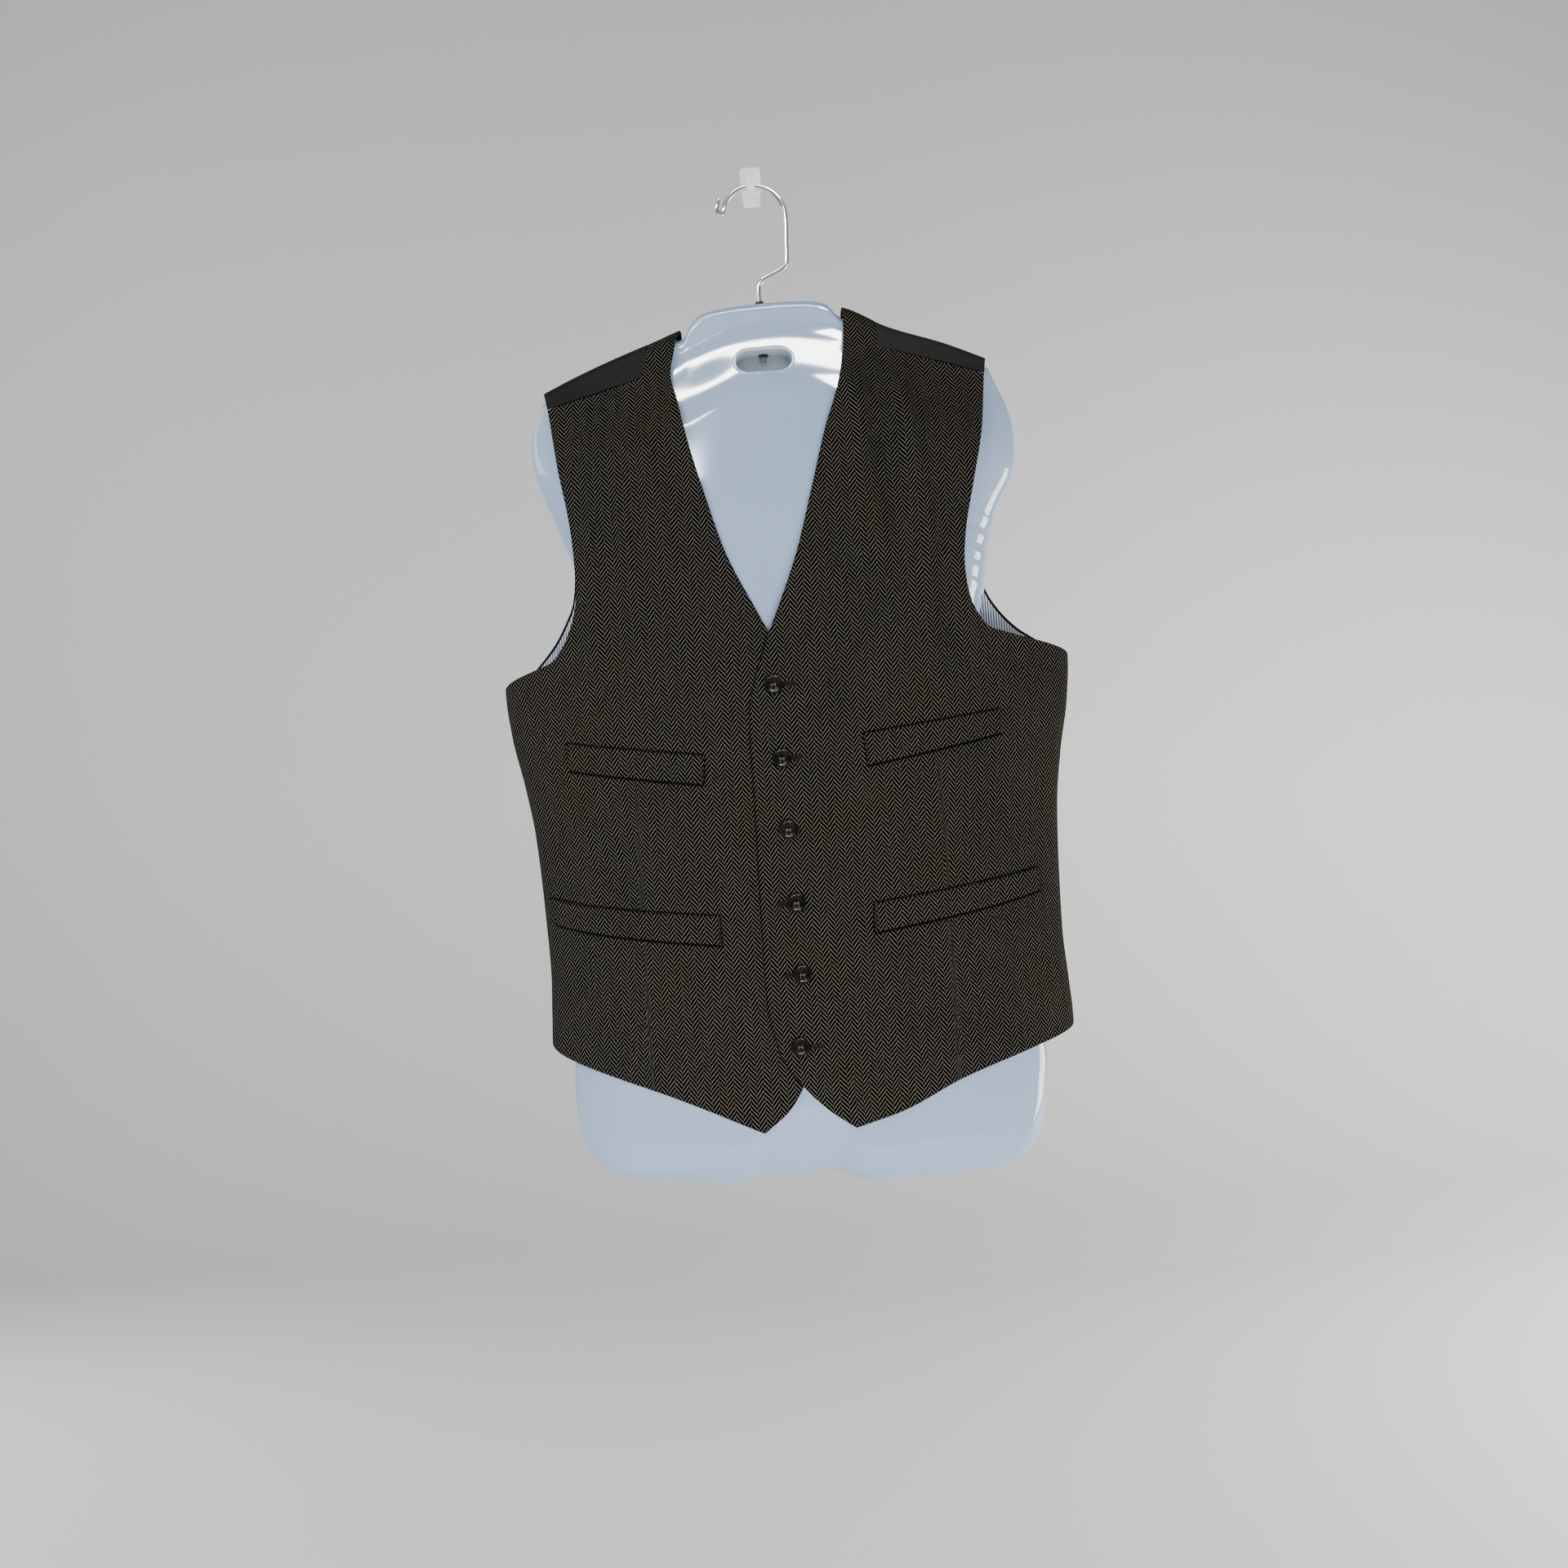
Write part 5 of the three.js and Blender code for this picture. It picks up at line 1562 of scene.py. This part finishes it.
def stitch_tree(stitch, material):
    tree = bpy.data.node_groups.new("stitches", "GeometryNodeTree")
    tree.interface.new_socket("Geometry", in_out="INPUT", socket_type="NodeSocketGeometry")
    tree.interface.new_socket("Stitch size", in_out="INPUT", socket_type="NodeSocketFloat")
    tree.interface.new_socket("Geometry", in_out="OUTPUT", socket_type="NodeSocketGeometry")
    start = tree.nodes.new("NodeGroupInput")
    end = tree.nodes.new("NodeGroupOutput")
    source = tree.nodes.new("GeometryNodeObjectInfo")
    source.inputs["Object"].default_value = stitch
    turn = tree.nodes.new("GeometryNodeInputNamedAttribute")
    turn.data_type = "FLOAT_VECTOR"
    turn.inputs["Name"].default_value = "turn"
    lay = tree.nodes.new("GeometryNodeInstanceOnPoints")
    real = tree.nodes.new("GeometryNodeRealizeInstances")
    colour = tree.nodes.new("GeometryNodeSetMaterial")
    colour.inputs["Material"].default_value = material
    links = tree.links
    links.new(start.outputs["Geometry"], lay.inputs["Points"])
    links.new(start.outputs["Stitch size"], lay.inputs["Scale"])
    links.new(source.outputs["Geometry"], lay.inputs["Instance"])
    links.new(turn.outputs[0], lay.inputs["Rotation"])
    links.new(lay.outputs[0], real.inputs[0])
    links.new(real.outputs[0], colour.inputs["Geometry"])
    links.new(colour.outputs[0], end.inputs[0])
    return tree


def lay_stitches(name, matrices, stitch, material, size):
    """One stitch at each matrix, as one piece."""
    points = [tuple(m.translation / MM) for m in matrices]
    carrier = make_mesh(name, points, [], [material])
    turns = carrier.data.attributes.new("turn", "FLOAT_VECTOR", "POINT")
    turns.data.foreach_set("vector", [k for m in matrices for k in m.to_euler()])
    tree = stitch_tree(stitch, material)
    laying = carrier.modifiers.new("stitches", "NODES")
    laying.node_group = tree
    laying[tree.interface.items_tree["Stitch size"].identifier] = size
    mesh = bpy.data.meshes.new_from_object(carrier.evaluated_get(bpy.context.evaluated_depsgraph_get()))
    mesh.polygons.foreach_set("use_smooth", [True] * len(mesh.polygons))
    carrier.modifiers.clear()
    carrier.data = mesh
    return carrier


def place_on_front(x, z, lift, direction):
    """A matrix on the front, its Z along the normal and its X along a direction in the plan."""
    a, b = (np.array(k) for k in on_sheet(x, z))
    normal = Vector(sheet_normals(1, a, b))
    at = Vector(sheet_points(1, a, b)) + normal * lift
    x_axis = Vector((direction[0], 0, direction[1]))
    x_axis = (x_axis - normal * x_axis.dot(normal)).normalized()
    y_axis = normal.cross(x_axis)
    return Matrix.Translation(at * MM) @ Matrix((x_axis, y_axis, normal)).transposed().to_4x4()


# %% [markdown]
# ### Buttonholes
# A button pulls to one end of its hole, so at most the other end shows. Each hole has its own two ends, as
# distances from its button, and the stitches between them are spaced evenly.

# %% Buttonholes
HOLE_HALF_WIDTH = 1.15
HOLE_STITCH = 1.9
HOLE_SPACING = 0.5
THREAD_RADIUS = 0.27
STITCH_LIFT = 0.12
STITCH_SLANT = 0.12
FAN_STITCHES = 9
hole_ends = [(-3, 16.5), (-3, 13.5), (-3, 7), (-13.5, 3), (-12, 3), (-3, 17)]
stitch = stitch_mesh(HOLE_STITCH, THREAD_RADIUS, "stitch", hole_thread)
hole_matrices = []
lift = LAP_LIFT + STITCH_LIFT
for (x, z), (start, end) in zip(button_places, hole_ends):
    for along in np.arange(start, end, HOLE_SPACING):
        for side in (-1, 1):
            at_z = z + side * HOLE_HALF_WIDTH
            hole_matrices.append(place_on_front(x + along, at_z, lift, (STITCH_SLANT * side, 1)))
    far = end if end > -start else start
    outward = math.copysign(1, far)
    for turn in np.linspace(-QUARTER, QUARTER, FAN_STITCHES):
        dx, dz = outward * math.cos(turn), math.sin(turn)
        at_x, at_z = x + far + HOLE_HALF_WIDTH * dx, z + HOLE_HALF_WIDTH * dz
        hole_matrices.append(place_on_front(at_x, at_z, lift, (dx, dz)))
pieces["buttonholes"] = lay_stitches("buttonholes", hole_matrices, stitch, hole_thread, 1.0)
print("buttonhole stitches:", len(hole_matrices))

# %% [markdown]
# ### Tacks at the welts' ends
# The ends of a welt are sewn down with small slanting stitches. They are the same stitch at a smaller
# size, so the same tree lays them.

# %% Tacks at the welts' ends
TACK_SIZE = 0.85
TACK_INSET = 1.1
TACKS_A_SIDE = 17
tack_lift = WELT_LIFT + WELT_WALL + 0.1
tack_matrices = []
for corners in welts.values():
    top_in, top_out, bottom_in, bottom_out = (np.array(c, float) for c in corners)
    for top, bottom, other in ((top_in, bottom_in, top_out), (top_out, bottom_out, top_in)):
        inward = math.copysign(1.0, other[0] - top[0])
        for t in np.linspace(0.06, 0.94, TACKS_A_SIDE):
            x, z = top * (1 - t) + bottom * t
            tack_matrices.append(place_on_front(x + inward * TACK_INSET, z, tack_lift, (1, 0.25)))
pieces["welt_tacks"] = lay_stitches("welt_tacks", tack_matrices, stitch, tack_thread, TACK_SIZE)
bpy.data.objects.remove(stitch)
print("tack stitches:", len(tack_matrices))

# %% [markdown]
# ## Joining the frame
# Every new piece rides on the one body, and a piece that stands for a CAD node hides that node. That is what
# lets the dressed model take the place of the plain one.

# %% Ride and replace
slots = {entry["node"]: entry["material_slot"] for entry in frame["record"]["subparts"]}
for name, piece in pieces.items():
    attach(piece, "root")
    if name in slots:
        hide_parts(name)
print("pieces on the frame:", len(pieces))

# %% [markdown]
# ### The flat cuts
# Each cloth piece carries its own area, measured along the built cloth, so that one can see how much cloth
# it takes.

# %% [markdown]
# ## Stage, light and camera
# The part is made to be seen from every side. A pale floor that sweeps up far behind it stays plain from
# all of them, and a single curved sheet has no edge that a reflection could catch.

# %% Stage
FLOOR_Z = -1.6
SWEEP_Y = 3.0


def make_stage():
    grey = Surface("stage_paint", Base_Color=(0.62, 0.63, 0.65, 1), Roughness=0.9).material
    profile = [(-4.0, FLOOR_Z), (SWEEP_Y - 1, FLOOR_Z)]
    for t in np.linspace(0, QUARTER, 12):
        profile.append((SWEEP_Y - 1 + math.sin(t), FLOOR_Z + 1 - math.cos(t)))
    profile.append((SWEEP_Y, 4.0))
    points = [(x * 1000, y * 1000, z * 1000) for x in (-5.0, 5.0) for y, z in profile]
    count = len(profile)
    faces = [(k, k + count, k + count + 1, k + 1) for k in range(count - 1)]
    stage = make_mesh("stage_sweep", points, faces, [grey])
    return stage


print("stage faces:", len(make_stage().data.polygons))


# %% [markdown]
# ### Soft light and narrow strips
# Broad area lights light the cloth evenly and are left out of reflections. Narrow strips do the reverse:
# they only draw the bright bands across the glossy form, as windows and ceiling lamps do in a room. Two
# more lights stand by the backdrop, and the last two light the back of the part.

# %% Lights
def area_light(name, at, target, size, power, colour=(1, 1, 1)):
    data = bpy.data.lights.new(name, "AREA")
    data.shape = "RECTANGLE"
    data.size, data.size_y = size
    data.energy = power
    data.color = colour
    light = bpy.data.objects.new(name, data)
    light.location = at
    light.rotation_euler = (Vector(target) - Vector(at)).to_track_quat("-Z", "Y").to_euler()
    bpy.context.scene.collection.objects.link(light)
    return light


middle = (0, -0.05, -0.45)
neck = (0, -0.04, -0.17)
soft_lights = [
    area_light("key", (-1.9, -1.7, 1.1), middle, (1.3, 1.3), 50),
    area_light("front", (0.3, -2.7, -0.1), middle, (2.0, 1.6), 15),
    area_light("low_fill", (0.3, -1.8, -1.35), (0, -0.05, -0.8), (1.6, 0.5), 42, (1, 0.96, 0.88)),
]
for light in soft_lights:
    light.visible_glossy = False
strips = [
    area_light("ceiling_near", (-0.02, -0.86, 1.80), neck, (1.6, 0.11), 65),
    area_light("ceiling_far", (-0.80, -1.80, 1.05), neck, (0.8, 0.3), 80),
    area_light("ceiling_right", (0.62, -1.07, 1.45), neck, (0.46, 0.4), 75),
    area_light("window", (1.9, -1.9, -0.2), middle, (0.3, 1.8), 1.6),
]
for light in strips:
    light.visible_diffuse = False
area_light("backdrop_left", (-2.4, 0.7, 0.9), (0.6, SWEEP_Y, -0.6), (1.5, 1.5), 26)
area_light("backdrop_right", (2.4, 0.7, -0.9), (0.2, SWEEP_Y, -1.1), (1.5, 1.2), 90, (1, 0.95, 0.86))
for side in (-1, 1):
    light = area_light(f"back_{side}", (2.2 * side, 2.3, 0.2), (2.2 * side, 0, 0.2), (1.2, 1.5), 90)
    light.visible_glossy = False
world = bpy.data.worlds.new("soft_room")
world.use_nodes = True
world.node_tree.nodes["Background"].inputs["Color"].default_value = (0.9, 0.93, 1, 1)
world.node_tree.nodes["Background"].inputs["Strength"].default_value = 0.3
bpy.context.scene.world = world
print("strips:", len(strips), "soft lights:", len(soft_lights))

# %% [markdown]
# ### The camera
# The camera stands level and straight in front, as far away as a person who looks at the part. It is
# rolled a little, so that the garment hangs at a slight slant in the picture.

# %% Camera
CAMERA_AT = (-0.0089, -1.3034, -0.5102)
CAMERA_ROLL = 4.2
CAMERA_ANGLE = 54.0
camera_data = bpy.data.cameras.new("camera")
camera_data.angle = math.radians(CAMERA_ANGLE)
camera_data.dof.use_dof = False
camera = bpy.data.objects.new("camera", camera_data)
roll = Matrix.Rotation(math.radians(-CAMERA_ROLL), 4, "Z")
camera.matrix_world = Matrix.Translation(CAMERA_AT) @ Matrix.Rotation(QUARTER, 4, "X") @ roll
bpy.context.scene.collection.objects.link(camera)
bpy.context.scene.camera = camera
print("camera angle:", CAMERA_ANGLE, "degrees")

# %% [markdown]
# ### Sizes
# The last cell counts the triangles that were added, and prints their total and the most in one piece.

# %% Sizes
triangles = {name: sum(len(face.vertices) - 2 for face in p.data.polygons) for name, p in pieces.items()}
print("triangles added:", sum(triangles.values()), "most in one piece:", max(triangles.values()))
